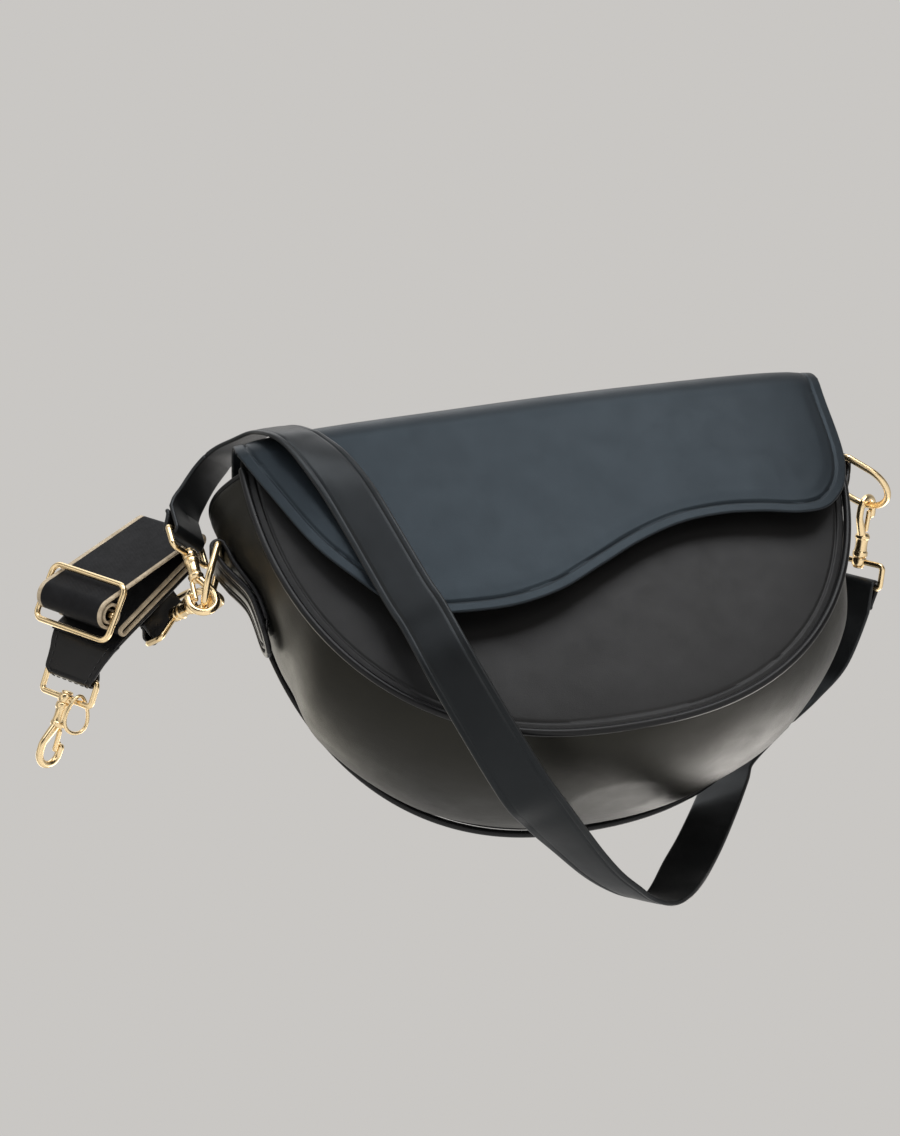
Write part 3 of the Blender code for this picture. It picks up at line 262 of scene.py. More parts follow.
# Turned profiles, as shares of their radius and of their height.
NECK_SHARES = (
    (0, 0), (0.72, 0), (0.95, 0.1), (1, 0.2), (0.86, 0.26), (0.80, 0.4), (0.80, 0.6), (0.86, 0.74),
    (1, 0.8), (1, 0.94), (0.9, 1), (0, 1),
)
POST_SHARES = ((0, 0), (1, 0), (1, 1), (0, 1))
HEAD_SHARES = ((0, 0), (0.9, 0), (1, 0.3), (0.85, 0.75), (0.4, 1), (0, 1))
DISC_SHARES = (
    (0, 0), (0.96, 0), (1, 0.25), (1, 0.75), (0.94, 1), (0.72, 1), (0.64, 0.72), (0.30, 0.72),
    (0.24, 0.95), (0, 0.95),
)
# The gate's thumb stud: radius and height in millimetres.
STUD_PROFILE = ((0.01, 0), (0.7, 0), (0.7, 0.7), (0.9, 1.0), (0.6, 1.5), (0.01, 1.6))
# The hook's shank: X and rise as shares of the eye's radius, and X where it meets the neck.
SHANK_SHARES = ((1, 0), (0.98, 0.6), (0.66, 1.25))
SHANK_END_SHARE = 0.18


# Numeric helpers


def unit(v: Array) -> Array:
    """Vectors scaled to length one along the last axis."""
    return v / np.maximum(np.linalg.norm(v, axis=-1, keepdims=True), 1e-12)


def frame_of(name: str) -> Array:
    """The 4 by 4 frame of a piece of hardware."""
    return np.vstack([np.array(FRAMES[name], float), (0.0, 0.0, 0.0, 1.0)])


def moved(points: Array, frame: Array) -> Array:
    """Points taken through a 4 by 4 frame."""
    return points @ frame[:3, :3].T + frame[:3, 3]


def spline(points: Sequence, per_span: int) -> Array:
    """A Catmull-Rom curve: the cubic through two knots whose slopes are half the steps past them.

    Args:
        points: Knots of any dimension.
        per_span: Steps between two knots.

    Returns:
        The curve's points, the last knot included.
    """
    p = np.asarray(points, float)
    p = np.concatenate([p[:1], p, p[-1:]])
    a, b, c, d = (x[:, None, :] for x in (p[:-3], p[1:-2], p[2:-1], p[3:]))
    t = (np.arange(per_span) / per_span)[None, :, None]
    run = 0.5 * (2 * b + (c - a) * t + (2 * a - 5 * b + 4 * c - d) * t**2
                 + (3 * b - a - 3 * c + d) * t**3)
    return np.concatenate([run.reshape(-1, p.shape[1]), p[-2:-1]])


def lengths(points: Array) -> Array:
    """Running length along a line of points, by its first three coordinates."""
    steps = np.linalg.norm(np.diff(points[:, :3], axis=0), axis=1)
    return np.concatenate([[0.0], np.cumsum(steps)])


def resample(points: Array, places: Array) -> Array:
    """A line of points read at the given shares of its length."""
    run = lengths(points)
    return np.stack([np.interp(places * run[-1], run, column) for column in points.T], axis=1)


def smooth(low: float, high: float, x: Array) -> Array:
    """0 below low, 1 above high and an eased step between them."""
    t = np.clip((x - low) / (high - low), 0.0, 1.0)
    return t * t * (3 - 2 * t)


def crease(d: Array, middle: float, half: float) -> Array:
    """A rounded dip of depth 1 at distance middle, half as wide to each side."""
    t = np.clip(np.abs(d - middle) / half, 0.0, 1.0)
    return 0.5 * (1 + np.cos(math.pi * t))


def ripple(points: Array, waves: Sequence, seed: int) -> Array:
    """A soft unevenness, the mean of a few slow sines across space in random directions.

    Args:
        points: Where it is read.
        waves: The sines' wavelengths in metres.
        seed: Of the directions and phases.

    Returns:
        A value between -1 and 1 for each point.
    """
    rng = np.random.default_rng(seed)
    total = np.zeros(points.shape[:-1])
    for wave in waves:
        way = unit(rng.normal(size=3))
        total += np.sin(points @ way * (2 * math.pi / wave) + rng.uniform(0, 2 * math.pi))
    return total / len(waves)


def edge_distance(points: Array, line: Array) -> Array:
    """Distance from each point of a grid to a polyline, by its nearest two segments.

    Args:
        points: The grid.
        line: The polyline's points, closer together than the grid's detail.

    Returns:
        A distance for each point.
    """
    flat = points.reshape(-1, points.shape[-1])
    out = []
    for part in np.array_split(flat, max(1, len(flat) // CHUNK)):
        square = (part**2).sum(1)[:, None] - 2 * part @ line.T + (line**2).sum(1)[None]
        near = np.argmin(square, axis=1)
        best = np.full(len(part), np.inf)
        for step in (-1, 0):
            k = np.clip(near + step, 0, len(line) - 2)
            a, b = line[k], line[k + 1]
            along = b - a
            t = np.clip(((part - a) * along).sum(1) / np.maximum((along**2).sum(1), 1e-18), 0, 1)
            best = np.minimum(best, np.linalg.norm(part - a - along * t[:, None], axis=1))
        out.append(best)
    return np.concatenate(out).reshape(points.shape[:-1])


def grid_normals(grid: Array) -> Array:
    """Unit normals of a grid of points, first axis crossed with second."""
    return unit(np.cross(np.gradient(grid, axis=0), np.gradient(grid, axis=1)))


# Mesh building


@dataclass
class Patch:
    """Vertices with quads, closing polygons, a UV in metres and a mark for cut edges."""

    points: Array
    quads: Array
    caps: list = field(default_factory=list)
    uv: Optional[Array] = None
    edge: Optional[Array] = None

    def filled(self) -> "Patch":
        """The same patch with its UV and edge mark present."""
        count = len(self.points)
        uv = self.uv if self.uv is not None else self.points[:, :2].copy()
        edge = self.edge if self.edge is not None else np.zeros(count)
        return Patch(self.points, self.quads, self.caps, uv, edge)

    def through(self, frame: Array) -> "Patch":
        """The patch moved by a 4 by 4 frame."""
        return Patch(moved(self.points, frame), self.quads, self.caps, self.uv, self.edge)


def joined(patches: Sequence[Patch]) -> Patch:
    """Several patches in one mesh, each its own closed island.

    Args:
        patches: The patches.

    Returns:
        One patch.
    """
    parts = [p.filled() for p in patches]
    starts = np.cumsum([0] + [len(p.points) for p in parts])
    caps = [cap + starts[i] for i, p in enumerate(parts) for cap in p.caps]
    return Patch(
        np.concatenate([p.points for p in parts]),
        np.concatenate([p.quads + starts[i] for i, p in enumerate(parts)]),
        caps,
        np.concatenate([p.uv for p in parts]),
        np.concatenate([p.edge for p in parts]),
    )


def grid_quads(rows: int, columns: int, wrap: bool = False, loop: bool = False) -> Array:
    """Quads between neighbouring rows and columns.

    Args:
        rows: Of the grid.
        columns: Of the grid.
        wrap: Whether the columns close on themselves.
        loop: Whether the rows do too.

    Returns:
        Four point numbers for each quad.
    """
    index = np.arange(rows * columns).reshape(rows, columns)
    if wrap:
        index = np.concatenate([index, index[:, :1]], axis=1)
    if loop:
        index = np.concatenate([index, index[:1]])
    quads = np.stack([index[:-1, :-1], index[1:, :-1], index[1:, 1:], index[:-1, 1:]], axis=-1)
    return quads.reshape(-1, 4)


def ring_indices(rows: int, columns: int) -> Array:
    """The outline of a grid, once round.

    Args:
        rows: Of the grid.
        columns: Of the grid.

    Returns:
        A row and a column for each point of the outline.
    """
    top = [(0, j) for j in range(columns)]
    right = [(i, columns - 1) for i in range(1, rows)]
    foot = [(rows - 1, j) for j in range(columns - 2, -1, -1)]
    left = [(i, 0) for i in range(rows - 2, 0, -1)]
    return np.array(top + right + foot + left)


def skin(outer: Array, thickness: float, side: int = 1, rim: float = 1.0,
         depth: Optional[Array] = None, centred: bool = False, steps: int = 6,
         square: Sequence[int] = ()) -> Patch:
    """A closed sheet of leather or cloth over a grid, with a rounded rim.

    The inner face is the outer one moved by the thickness against its normal, and the rim is half
    an ellipse round the grid's outline: C + H cos t + O |H| rim sin t.

    Args:
        outer: Grid of points of the outer face, or of the middle with centred.
        thickness: How far the inner face lies behind it.
        side: 1 where the grid's own normal leaves the piece, else -1.
        rim: How far the rim bulges, as a share of half the thickness.
        depth: How far each point of the outer face is pushed out.
        centred: Whether the grid is the sheet's middle.
        steps: Rows of the rim.
        square: Rows of the grid, 0 or -1, whose rim is cut square and left unpainted.

    Returns:
        A closed patch whose UV is the length along each side of the grid.
    """
    rows, columns, _ = outer.shape
    normal = grid_normals(outer) * side
    if centred:
        outer = outer + normal * thickness / 2
    inner = outer - normal * thickness
    if depth is not None:
        outer = outer + normal * depth[..., None]
    ring = ring_indices(rows, columns)
    i, j = ring[:, 0], ring[:, 1]
    middle, half = (outer[i, j] + inner[i, j]) / 2, (outer[i, j] - inner[i, j]) / 2
    along = unit(np.roll(middle, -1, axis=0) - np.roll(middle, 1, axis=0))
    out = unit(np.cross(along, normal[i, j]))
    inside = middle - (outer[np.clip(i, 1, rows - 2), np.clip(j, 1, columns - 2)])
    out = out * np.sign((out * inside).sum(1, keepdims=True) + 1e-15)
    plain = np.isin(i, [row % rows for row in square])
    reach = np.linalg.norm(half, axis=1, keepdims=True) * rim * ~plain[:, None]
    turns = np.pi * np.arange(1, steps) / steps
    rims = (middle[None] + half[None] * np.cos(turns)[:, None, None]
            + out[None] * reach[None] * np.sin(turns)[:, None, None])
    count, around = rows * columns, len(ring)
    u = lengths(outer[:, columns // 2])
    v = lengths(outer[rows // 2])
    uv = np.stack(np.meshgrid(u, v, indexing="ij"), axis=-1)
    index = i * columns + j
    strips = np.concatenate(
        [index[None], 2 * count + np.arange((steps - 1) * around).reshape(steps - 1, around),
         count + index[None]])
    nxt = np.roll(strips, -1, axis=1)
    rim_quads = np.stack([strips[:-1], nxt[:-1], nxt[1:], strips[1:]], axis=-1).reshape(-1, 4)
    flat = grid_quads(rows, columns)
    quads = np.concatenate([flat, flat[:, ::-1] + count, rim_quads])
    points = np.concatenate([outer.reshape(-1, 3), inner.reshape(-1, 3), rims.reshape(-1, 3)])
    uvs = np.concatenate([uv.reshape(-1, 2)] * 2 + [uv[i, j]] * (steps - 1))
    edge = np.concatenate([np.zeros(2 * count), np.tile(~plain * 1.0, steps - 1)])
    return Patch(points, quads, [], uvs, edge)


def tube(path: Array, radius: Array | float, side: Sequence, sides: int = 16,
         closed: bool = False) -> Patch:
    """A round wire along a path: P + r (cos t B + sin t (T x B)), its ends domed.

    Args:
        path: Points of the middle.
        radius: One radius, or one for each point.
        side: A direction, or one for each point, that fixes where each ring starts.
        sides: Points round the wire.
        closed: Whether the wire meets itself.

    Returns:
        A closed patch.
    """
    r = np.broadcast_to(np.asarray(radius, float), (len(path),)).copy()
    ref = np.broadcast_to(np.asarray(side, float), path.shape).copy()
    if closed:
        along = unit(np.roll(path, -1, axis=0) - np.roll(path, 1, axis=0))
    else:
        along = unit(np.gradient(path, axis=0))
        dome = np.radians(DOME_ANGLES)
        for end, sign in ((0, -1), (-1, 1)):
            p = path[end] + sign * along[end] * r[end] * np.sin(dome)[:, None]
            q = r[end] * np.cos(dome)
            order = slice(None) if end == 0 else slice(None, None, -1)
            same_ref, same_way = (np.repeat(v[end][None], len(dome), 0) for v in (ref, along))
            pieces = [(p[order], path), (q[order], r), (same_ref, ref), (same_way, along)]
            if end == -1:
                pieces = [(b, a) for a, b in pieces]
            path, r, ref, along = (np.concatenate(pair) for pair in pieces)
    b = unit(ref - along * (ref * along).sum(1, keepdims=True))
    c = np.cross(along, b)
    turn = 2 * np.pi * np.arange(sides) / sides
    ring = b[:, None] * np.cos(turn)[None, :, None] + c[:, None] * np.sin(turn)[None, :, None]
    points = path[:, None] + ring * r[:, None, None]
    rows = len(path)
    quads = grid_quads(rows, sides, wrap=True, loop=closed)
    caps = [] if closed else [np.arange(sides), np.arange(sides) + (rows - 1) * sides]
    run = np.repeat(lengths(path)[:, None], sides, 1)
    round_way = np.repeat((turn * float(np.mean(r)))[None], rows, 0)
    uv = np.stack([run, round_way], axis=-1).reshape(-1, 2)
    return Patch(points.reshape(-1, 3), quads, caps, uv)


def lathe(profile: Sequence, sides: int = 32, hollow: bool = False) -> Patch:
    """A turned shape about Z: (r cos t, r sin t, z).

    Args:
        profile: Pairs of radius and height.
        sides: Points round the shape.
        hollow: Whether the profile closes on itself, off the axis.

    Returns:
        A closed patch.
    """
    p = np.asarray(profile, float)
    if hollow:
        p = np.concatenate([p, p[:1]])
    turn = 2 * np.pi * np.arange(sides) / sides
    ring = np.stack([np.cos(turn), np.sin(turn), np.zeros(sides)], axis=1)
    points = p[:, None, :1] * ring[None] + np.array([0, 0, 1.0]) * p[:, None, 1:]
    if hollow:
        quads = grid_quads(len(p) - 1, sides, wrap=True, loop=True)
        return Patch(points[:-1].reshape(-1, 3), quads[:, [0, 3, 2, 1]])
    caps = [np.arange(sides), np.arange(sides) + (len(p) - 1) * sides]
    return Patch(points.reshape(-1, 3), grid_quads(len(p), sides, wrap=True), caps)


def rounded(profile: Sequence, share: float = 0.3, steps: int = 3) -> Array:
    """A profile with each inner corner cut into a small quadratic curve, for turned metal.

    Args:
        profile: Pairs of radius and height.
        share: How much of the shorter neighbouring run the curve takes.
        steps: Its steps.

    Returns:
        The rounded profile.
    """
    p = np.asarray(profile, float)
    out = [p[:1]]
    for a, b, c in zip(p[:-2], p[1:-1], p[2:]):
        cut = min(np.linalg.norm(b - a), np.linalg.norm(c - b)) * share
        start, end = b - unit(b - a) * cut, b + unit(c - b) * cut
        t = np.linspace(0, 1, steps + 1)[:, None]
        out.append(start * (1 - t) ** 2 + 2 * b * t * (1 - t) + end * t**2)
    return np.concatenate(out + [p[-1:]])


def turned(shares: Sequence, radius: float, low: float, high: float) -> Array:
    """A turned shape's profile from its shares.

    Args:
        shares: Pairs of radius and height, as shares.
        radius: The full radius.
        low: Height of its foot.
        high: Height of its top.

    Returns:
        Pairs of radius and height, none nearer to the axis than AXIS.
    """
    profile = np.asarray(shares, float) * (radius, high - low) + (0, low)
    profile[:, 0] = np.maximum(profile[:, 0], AXIS)
    return profile


def round_corners(corners: Sequence[Point], radius: float, steps: int,
                  count: int) -> Array:
    """A closed line of quarter circles with straight runs between them.

    Args:
        corners: Each circle's middle, and the angle in degrees at which its quarter starts.
        radius: The circles' radius.
        steps: Points of each quarter.
        count: Points of the even line, of which the last one would be the first again.

    Returns:
        Pairs of coordinates, evenly spaced.
    """
    pieces = []
    for x, y, start in corners:
        turn = np.radians(np.linspace(start, start + 90, steps))
        pieces.append(np.stack([x + radius * np.cos(turn), y + radius * np.sin(turn)], axis=1))
    ring = np.concatenate(pieces + [pieces[0][:1]])
    return resample(ring, np.linspace(0, 1, count)[:-1])


def stitches(line: Array, normal: Array, pitch: float = 3.4 * MM, length: float = 2.5 * MM,
             radius: float = 0.24 * MM, sink: float = 0.05 * MM) -> Patch:
    """A row of thread stitches, each a short sunken capsule laid along a line on a surface.

    Args:
        line: Points of the row.
        normal: The surface's normal, or one for each point.
        pitch: How far apart the stitches lie.
        length: Of a stitch.
        radius: Of the thread.
        sink: How deep the stitches lie in the surface.

    Returns:
        The stitches as closed islands.
    """
    count = max(int(lengths(line)[-1] / pitch), 1)
    places = (np.arange(count) + 0.5) / count
    centre = resample(line, places)
    along = unit(resample(line, np.clip(places + 0.004, 0, 1)) - resample(line, places - 0.004))
    carried = np.concatenate([line, np.broadcast_to(normal, line.shape)], axis=1)
    up = unit(resample(carried, places)[:, 3:])
    side = np.cross(along, up)
    t = np.linspace(-1, 1, 9)
    arch = np.sqrt(np.clip(1 - t**2, 0, 1))
    base = tube(np.stack([t * length / 2, 0 * t, (arch - 0.6) * radius], axis=1),
                radius * np.clip(arch * 1.6, 0.25, 1), (0, 1, 0), sides=8)
    axes = np.stack([along, side, up], axis=1)
    points = np.einsum("pk,nkc->npc", base.points, axes) + centre[:, None] - up[:, None] * sink
    size = len(base.points)
    quads = (base.quads[None] + (np.arange(count) * size)[:, None, None]).reshape(-1, 4)
    caps = [cap + size * k for k in range(count) for cap in base.caps]
    return Patch(points.reshape(-1, 3), quads, caps)


def fill_mesh(mesh: bpy.types.Mesh, patch: Patch) -> None:
    """Puts a patch into an empty mesh, with its UV and its mark for cut edges.

    Args:
        mesh: The mesh to fill.
        patch: The patch, whose faces are turned to point outwards.
    """
    patch = patch.filled()
    corners = [patch.quads.ravel()] + [np.asarray(cap) for cap in patch.caps]
    flat = np.concatenate(corners).astype(np.int32)
    sizes = np.array([4] * len(patch.quads) + [len(cap) for cap in patch.caps])
    starts = np.concatenate([[0], np.cumsum(sizes)[:-1]]).astype(np.int32)
    mesh.vertices.add(len(patch.points))
    mesh.vertices.foreach_set("co", patch.points.astype(np.float32).ravel())
    mesh.loops.add(len(flat))
    mesh.loops.foreach_set("vertex_index", flat)
    mesh.polygons.add(len(starts))
    mesh.polygons.foreach_set("loop_start", starts)
    mesh.update(calc_edges=True)
    layer = mesh.uv_layers.new(name="UVMap")
    layer.data.foreach_set("uv", patch.uv[flat].astype(np.float32).ravel())
    mark = mesh.attributes.new("edge", "FLOAT", "POINT")
    mark.data.foreach_set("value", patch.edge.astype(np.float32))
    work = bmesh.new()
    work.from_mesh(mesh)
    bmesh.ops.recalc_face_normals(work, faces=work.faces)
    work.to_mesh(mesh)
    work.free()


def make_object(name: str, patch: Patch, finish: Material, body: str,
                replaces: Sequence[str] = (), sharp: float = SHARP_ANGLE) -> Object:
    """A mesh object at the origin that rides on a body and stands for CAD nodes.

    Args:
        name: The piece's name.
        patch: Its closed islands.
        finish: Its material.
        body: The body that it moves with, or empty for none.
        replaces: CAD nodes that it takes the place of.
        sharp: Angle in degrees over which an edge is drawn sharp.

    Returns:
        The new object.
    """
    mesh = bpy.data.meshes.new(name)
    fill_mesh(mesh, patch)
    mesh.shade_smooth()
    mesh.set_sharp_from_angle(angle=math.radians(sharp))
    mesh.materials.append(finish)
    thing = bpy.data.objects.new(name, mesh)
    bpy.context.scene.collection.objects.link(thing)
    if replaces:
        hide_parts(*replaces)
    if body:
        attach(thing, body)
    return thing


# Relief of pressed and sewn leather


class Press(Enum):
    """How a pressed mark changes the height with the distance from an edge."""

    LINE = "line"
    RISE = "rise"
    FALL = "fall"


@dataclass(frozen=True)
class Mark:
    """A pressed mark along an edge, in millimetres.

    A line lies at start and fades over size to each side. A rise or a fall goes from start to size.
    """

    press: Press
    height: float
    start: float
    size: float

    def at(self, away: Array) -> Array:
        """The mark's height over the plain surface.

        Args:
            away: Distances from the edge, in metres.

        Returns:
            A height in metres for each distance.
        """
        if self.press is Press.LINE:
            return self.height * MM * crease(away, self.start * MM, self.size * MM)
        step = smooth(self.start * MM, self.size * MM, away)
        return self.height * MM * (step if self.press is Press.RISE else 1 - step)


@dataclass(frozen=True)
class Sag:
    """Slow unevenness of soft leather: height in millimetres, waves and free width in metres."""

    height: float
    waves: tuple[float, ...]
    seed: int
    free: Pair

    def at(self, points: Array, away: Array) -> Array:
        """The height at points, given their distances from an edge where there is none."""
        uneven = self.height * MM * ripple(points, self.waves, self.seed)
        return uneven * smooth(*self.free, away)


def pressed(away: Array, marks: Sequence[Mark]) -> Array:
    """The heights of several marks, summed."""
    return sum(mark.at(away) for mark in marks)


PANEL_MARKS = (Mark(Press.FALL, 0.35, 2.7, 3.3), Mark(Press.LINE, -0.28, 3.5, 0.9))
FLAP_MARKS = (Mark(Press.LINE, -0.62, 4.3, 0.9), Mark(Press.RISE, 0.35, 4.6, 11.0))
TAB_MARKS = (
    Mark(Press.FALL, 0.45, 1.4, 1.9), Mark(Press.LINE, -0.50, 2.3, 0.8),
    Mark(Press.LINE, 0.30, 3.6, 0.9), Mark(Press.LINE, -0.50, 5.0, 0.8),
    Mark(Press.RISE, 0.45, 5.4, 7.0),
)
STRAP_MARKS = (Mark(Press.LINE, -0.34, 1.7, 0.6), Mark(Press.RISE, 0.16, 1.9, 6.0))
CHAPE_MARKS = (Mark(Press.LINE, -0.2, 1.6, 0.7),)
PANEL_SAG = Sag(0.22, (0.06, 0.09, 0.05), 3, (0.004, 0.02))
GUSSET_SAG = Sag(0.30, (0.05, 0.08, 0.035), 8, (0.0005, 0.006))
FLAP_SAG = Sag(0.30, (0.07, 0.11, 0.05), 5, (0.006, 0.03))


# Finishes


class Slot(Enum):
    """The record's material slots."""

    LEATHER = "leather"
    LINING = "lining"
    WEBBING = "webbing"
    GOLD = "gold"


@dataclass(frozen=True)
class Leather:
    """Numbers of one leather finish, lengths in metres."""

    name: str
    dark: Color
    light: Color
    rim: Color = (0.016, 0.016, 0.017)
    rough: Pair = (0.36, 0.46)
    grain: float = 0.00055
    grain_depth: float = 0.35
    coat: float = 0.03
    shine: float = 0.20
    # Colour of its reflections, white for plain leather; a coloured tint is painted reflection
    # colour.
    tint: Color = (1.0, 1.0, 1.0)


@dataclass(frozen=True)
class Plating:
    """A plated metal's colour, its duller share under the film, and its roughness."""

    name: str
    color: Color
    rough: float
    dull: float = 0.72


# The flap's and strap's bluish and the gusset's warm specular tints colour the reflections of
# near-neutral lamps: painted reflection colour, standing in for a bluish light on the flap and
# strap and a warm room beside the gusset. The flap's base tone leans blue and the gusset's warm in
# the same way.
LEATHERS = {
    "flap": Leather("flap_leather", (0.0065, 0.0080, 0.0100), (0.0095, 0.0115, 0.0140),
                    rough=(0.36, 0.44), shine=0.23, tint=(0.62, 0.84, 1.0)),
    "panel": Leather("panel_leather", (0.0060, 0.0059, 0.0060), (0.0090, 0.0088, 0.0088),
                     rough=(0.42, 0.52), shine=0.24),
    "gusset": Leather("gusset_leather", (0.0065, 0.0062, 0.0052), (0.0100, 0.0095, 0.0080),
                      rough=(0.38, 0.47), tint=(1.0, 0.97, 0.80)),
    "trim": Leather("trim_leather", (0.0050, 0.0050, 0.0052), (0.0080, 0.0080, 0.0085),
                    rough=(0.26, 0.36), grain_depth=0.2),
    "strap": Leather("strap_leather", (0.0050, 0.0053, 0.0057), (0.0080, 0.0085, 0.0090),
                     rim=(0.022, 0.022, 0.022), rough=(0.30, 0.40), grain_depth=0.25, shine=0.22,
                     tint=(0.85, 0.94, 1.0)),
    "suede": Leather("inner_leather", (0.0095, 0.0085, 0.0075), (0.0160, 0.0145, 0.0125),
                     rough=(0.62, 0.78), grain_depth=0.6, coat=0.0),
}
GOLD = Plating("gold_plate", (0.93, 0.72, 0.42), 0.17)
SNAP_PLATE = Plating("snap_plate", (0.80, 0.66, 0.46), 0.30)


def rgba(color: Color) -> tuple[float, float, float, float]:
    """A colour with full alpha."""
    return (*color, 1.0)


class Nodes:
    """Helpers that add nodes to one node tree."""

    def __init__(self, tree: bpy.types.NodeTree) -> None:
        """Keeps the tree."""
        self.tree = tree

    def node(self, kind: str, inputs: Optional[dict] = None, **props: object) -> bpy.types.Node:
        """A node with its properties and inputs.

        Args:
            kind: The node's type.
            inputs: Values or sockets by the input's name or number.
            **props: The node's own properties.

        Returns:
            The new node.
        """
        made = self.tree.nodes.new(kind)
        for key, value in props.items():
            setattr(made, key, value)
        for key, value in (inputs or {}).items():
            if isinstance(value, bpy.types.NodeSocket):
                self.tree.links.new(value, made.inputs[key])
            else:
                made.inputs[key].default_value = value
        return made

    def math(self, operation: str, a: object, b: object = 0.0, c: object = 0.0) -> Socket:
        """The result of one math node."""
        return self.node("ShaderNodeMath", {0: a, 1: b, 2: c}, operation=operation).outputs[0]

    def wave(self, value: Socket, pitch: float) -> Socket:
        """A sine of a length, one period every pitch metres."""
        return self.math("SINE", self.math("MULTIPLY", value, 2 * math.pi / pitch))

    def fit(self, value: Socket, source: Pair,
            target: Pair = (0.0, 1.0)) -> Socket:
        """A value taken from a source range to a target range, held inside it."""
        inputs = dict(enumerate((value, *source, *target)))
        return self.node("ShaderNodeMapRange", inputs).outputs[0]

    def ramp(self, value: Socket, stops: Sequence[tuple[float, Color]]) -> Socket:
        """A colour ramp.

        Args:
            value: Where the ramp is read.
            stops: Its places with their colours.

        Returns:
            The colour's socket.
        """
        made = self.node("ShaderNodeValToRGB", {0: value})
        elements = made.color_ramp.elements
        while len(elements) < len(stops):
            elements.new(0.5)
        for element, (place, color) in zip(elements, stops):
            element.position = place
            element.color = rgba(color)
        return made.outputs[0]

    def mix(self, share: Socket, a: Socket | Color, b: Socket | Color) -> Socket:
        """The first colour with a share of the second."""
        first, second = (rgba(c) if isinstance(c, tuple) else c for c in (a, b))
        return self.node("ShaderNodeMix", {0: share, 6: first, 7: second},
                         data_type="RGBA").outputs[2]


class Painter(Nodes):
    """Builds one surface material."""

    def __init__(self, name: str) -> None:
        """Starts a material with its shader and its coordinates."""
        self.material = bpy.data.materials.new(name)
        self.material.use_nodes = True
        super().__init__(self.material.node_tree)
        self.shader = self.tree.nodes["Principled BSDF"]
        self.coords = self.node("ShaderNodeTexCoord")

    def set(self, **values: object) -> None:
        """Sets the shader's own sockets, spaces in their names written as underscores."""
        for key, value in values.items():
            self.shader.inputs[key.replace("_", " ")].default_value = value

    def wire(self, **sockets: Socket) -> Material:
        """Links sockets to the shader and returns the material."""
        for key, socket in sockets.items():
            self.tree.links.new(socket, self.shader.inputs[key.replace("_", " ")])
        return self.material

    def along_and_across(self) -> tuple[Socket, Socket]:
        """The two lengths of the piece's UV, in metres."""
        split = self.node("ShaderNodeSeparateXYZ", {0: self.coords.outputs["UV"]})
        return split.outputs[0], split.outputs[1]

    def cut_edge(self) -> Socket:
        """1 on a piece's cut and painted edges, else 0."""
        return self.node("ShaderNodeAttribute", attribute_name="edge").outputs["Fac"]

    def noise(self, size: float, detail: float = 3.0, rough: float = 0.55,
              stretch: Point = (1, 1, 1)) -> Socket:
        """Noise in the object's own space.

        Args:
            size: How many metres a feature measures.
            detail: Octaves.
            rough: How strong the finer octaves are.
            stretch: Scale along each axis.

        Returns:
            The noise's socket.
        """
        place = self.node("ShaderNodeMapping", {0: self.coords.outputs["Object"], "Scale": stretch})
        made = self.node("ShaderNodeTexNoise", {"Vector": place.outputs[0], "Scale": 1 / size,
                                                "Detail": detail, "Roughness": rough})
        return made.outputs[0]

    def bump(self, height: Socket, distance: float, strength: float = 1.0,
             under: Optional[Socket] = None) -> Socket:
        """A bump, over another one if given.

        Args:
            height: Its height from 0 to 1.
            distance: Its depth in metres.
            strength: How much of it shows.
            under: The normal below it.

        Returns:
            The new normal's socket.
        """
        inputs = {"Height": height, "Distance": distance, "Strength": strength}
        if under is not None:
            inputs["Normal"] = under
        return self.node("ShaderNodeBump", inputs).outputs[0]


def leather_material(look: Leather) -> Material:
    """Smooth dyed leather: slow tone changes, a fine closed grain, pores and painted edges.

    Args:
        look: The numbers of this leather.

    Returns:
        The material.
    """
    p = Painter(look.name)
    # The specular tint colours the leather's reflections; where it is not white it is painted
    # reflection colour.
    p.set(Coat_Weight=look.coat, Coat_Roughness=0.25, Specular_IOR_Level=look.shine,
          Specular_Tint=rgba(look.tint))
    tone = p.ramp(p.noise(0.045, detail=2.0), [(0.32, look.dark), (0.68, look.light)])
    scuff = p.ramp(p.noise(0.004, detail=4.0, rough=0.7), [(0.55, (0, 0, 0)), (0.8, (1, 1, 1))])
    worn = p.math("MULTIPLY", p.cut_edge(), p.math("MULTIPLY_ADD", scuff, 0.5, 0.5))
    cells = p.node("ShaderNodeTexVoronoi", {"Vector": p.coords.outputs["Object"],
                                            "Scale": 1 / look.grain}, feature="DISTANCE_TO_EDGE")
    closed = p.fit(cells.outputs["Distance"], (0.0, 0.22))
    pores = p.noise(0.0009, detail=4.0, rough=0.65)
    rough = p.fit(p.noise(0.012, detail=5.0, rough=0.6), (0.3, 0.7), look.rough)
    rough = p.math("SUBTRACT", rough, p.math("MULTIPLY", worn, 0.08))
    soft = p.bump(p.noise(0.018, detail=2.0), distance=0.0004, strength=0.5)
    fine = p.bump(pores, distance=0.00006, strength=look.grain_depth, under=soft)
    normal = p.bump(closed, distance=0.00004, strength=look.grain_depth, under=fine)
    return p.wire(Base_Color=p.mix(worn, tone, look.rim), Roughness=rough, Normal=normal,
                  Coat_Normal=soft)


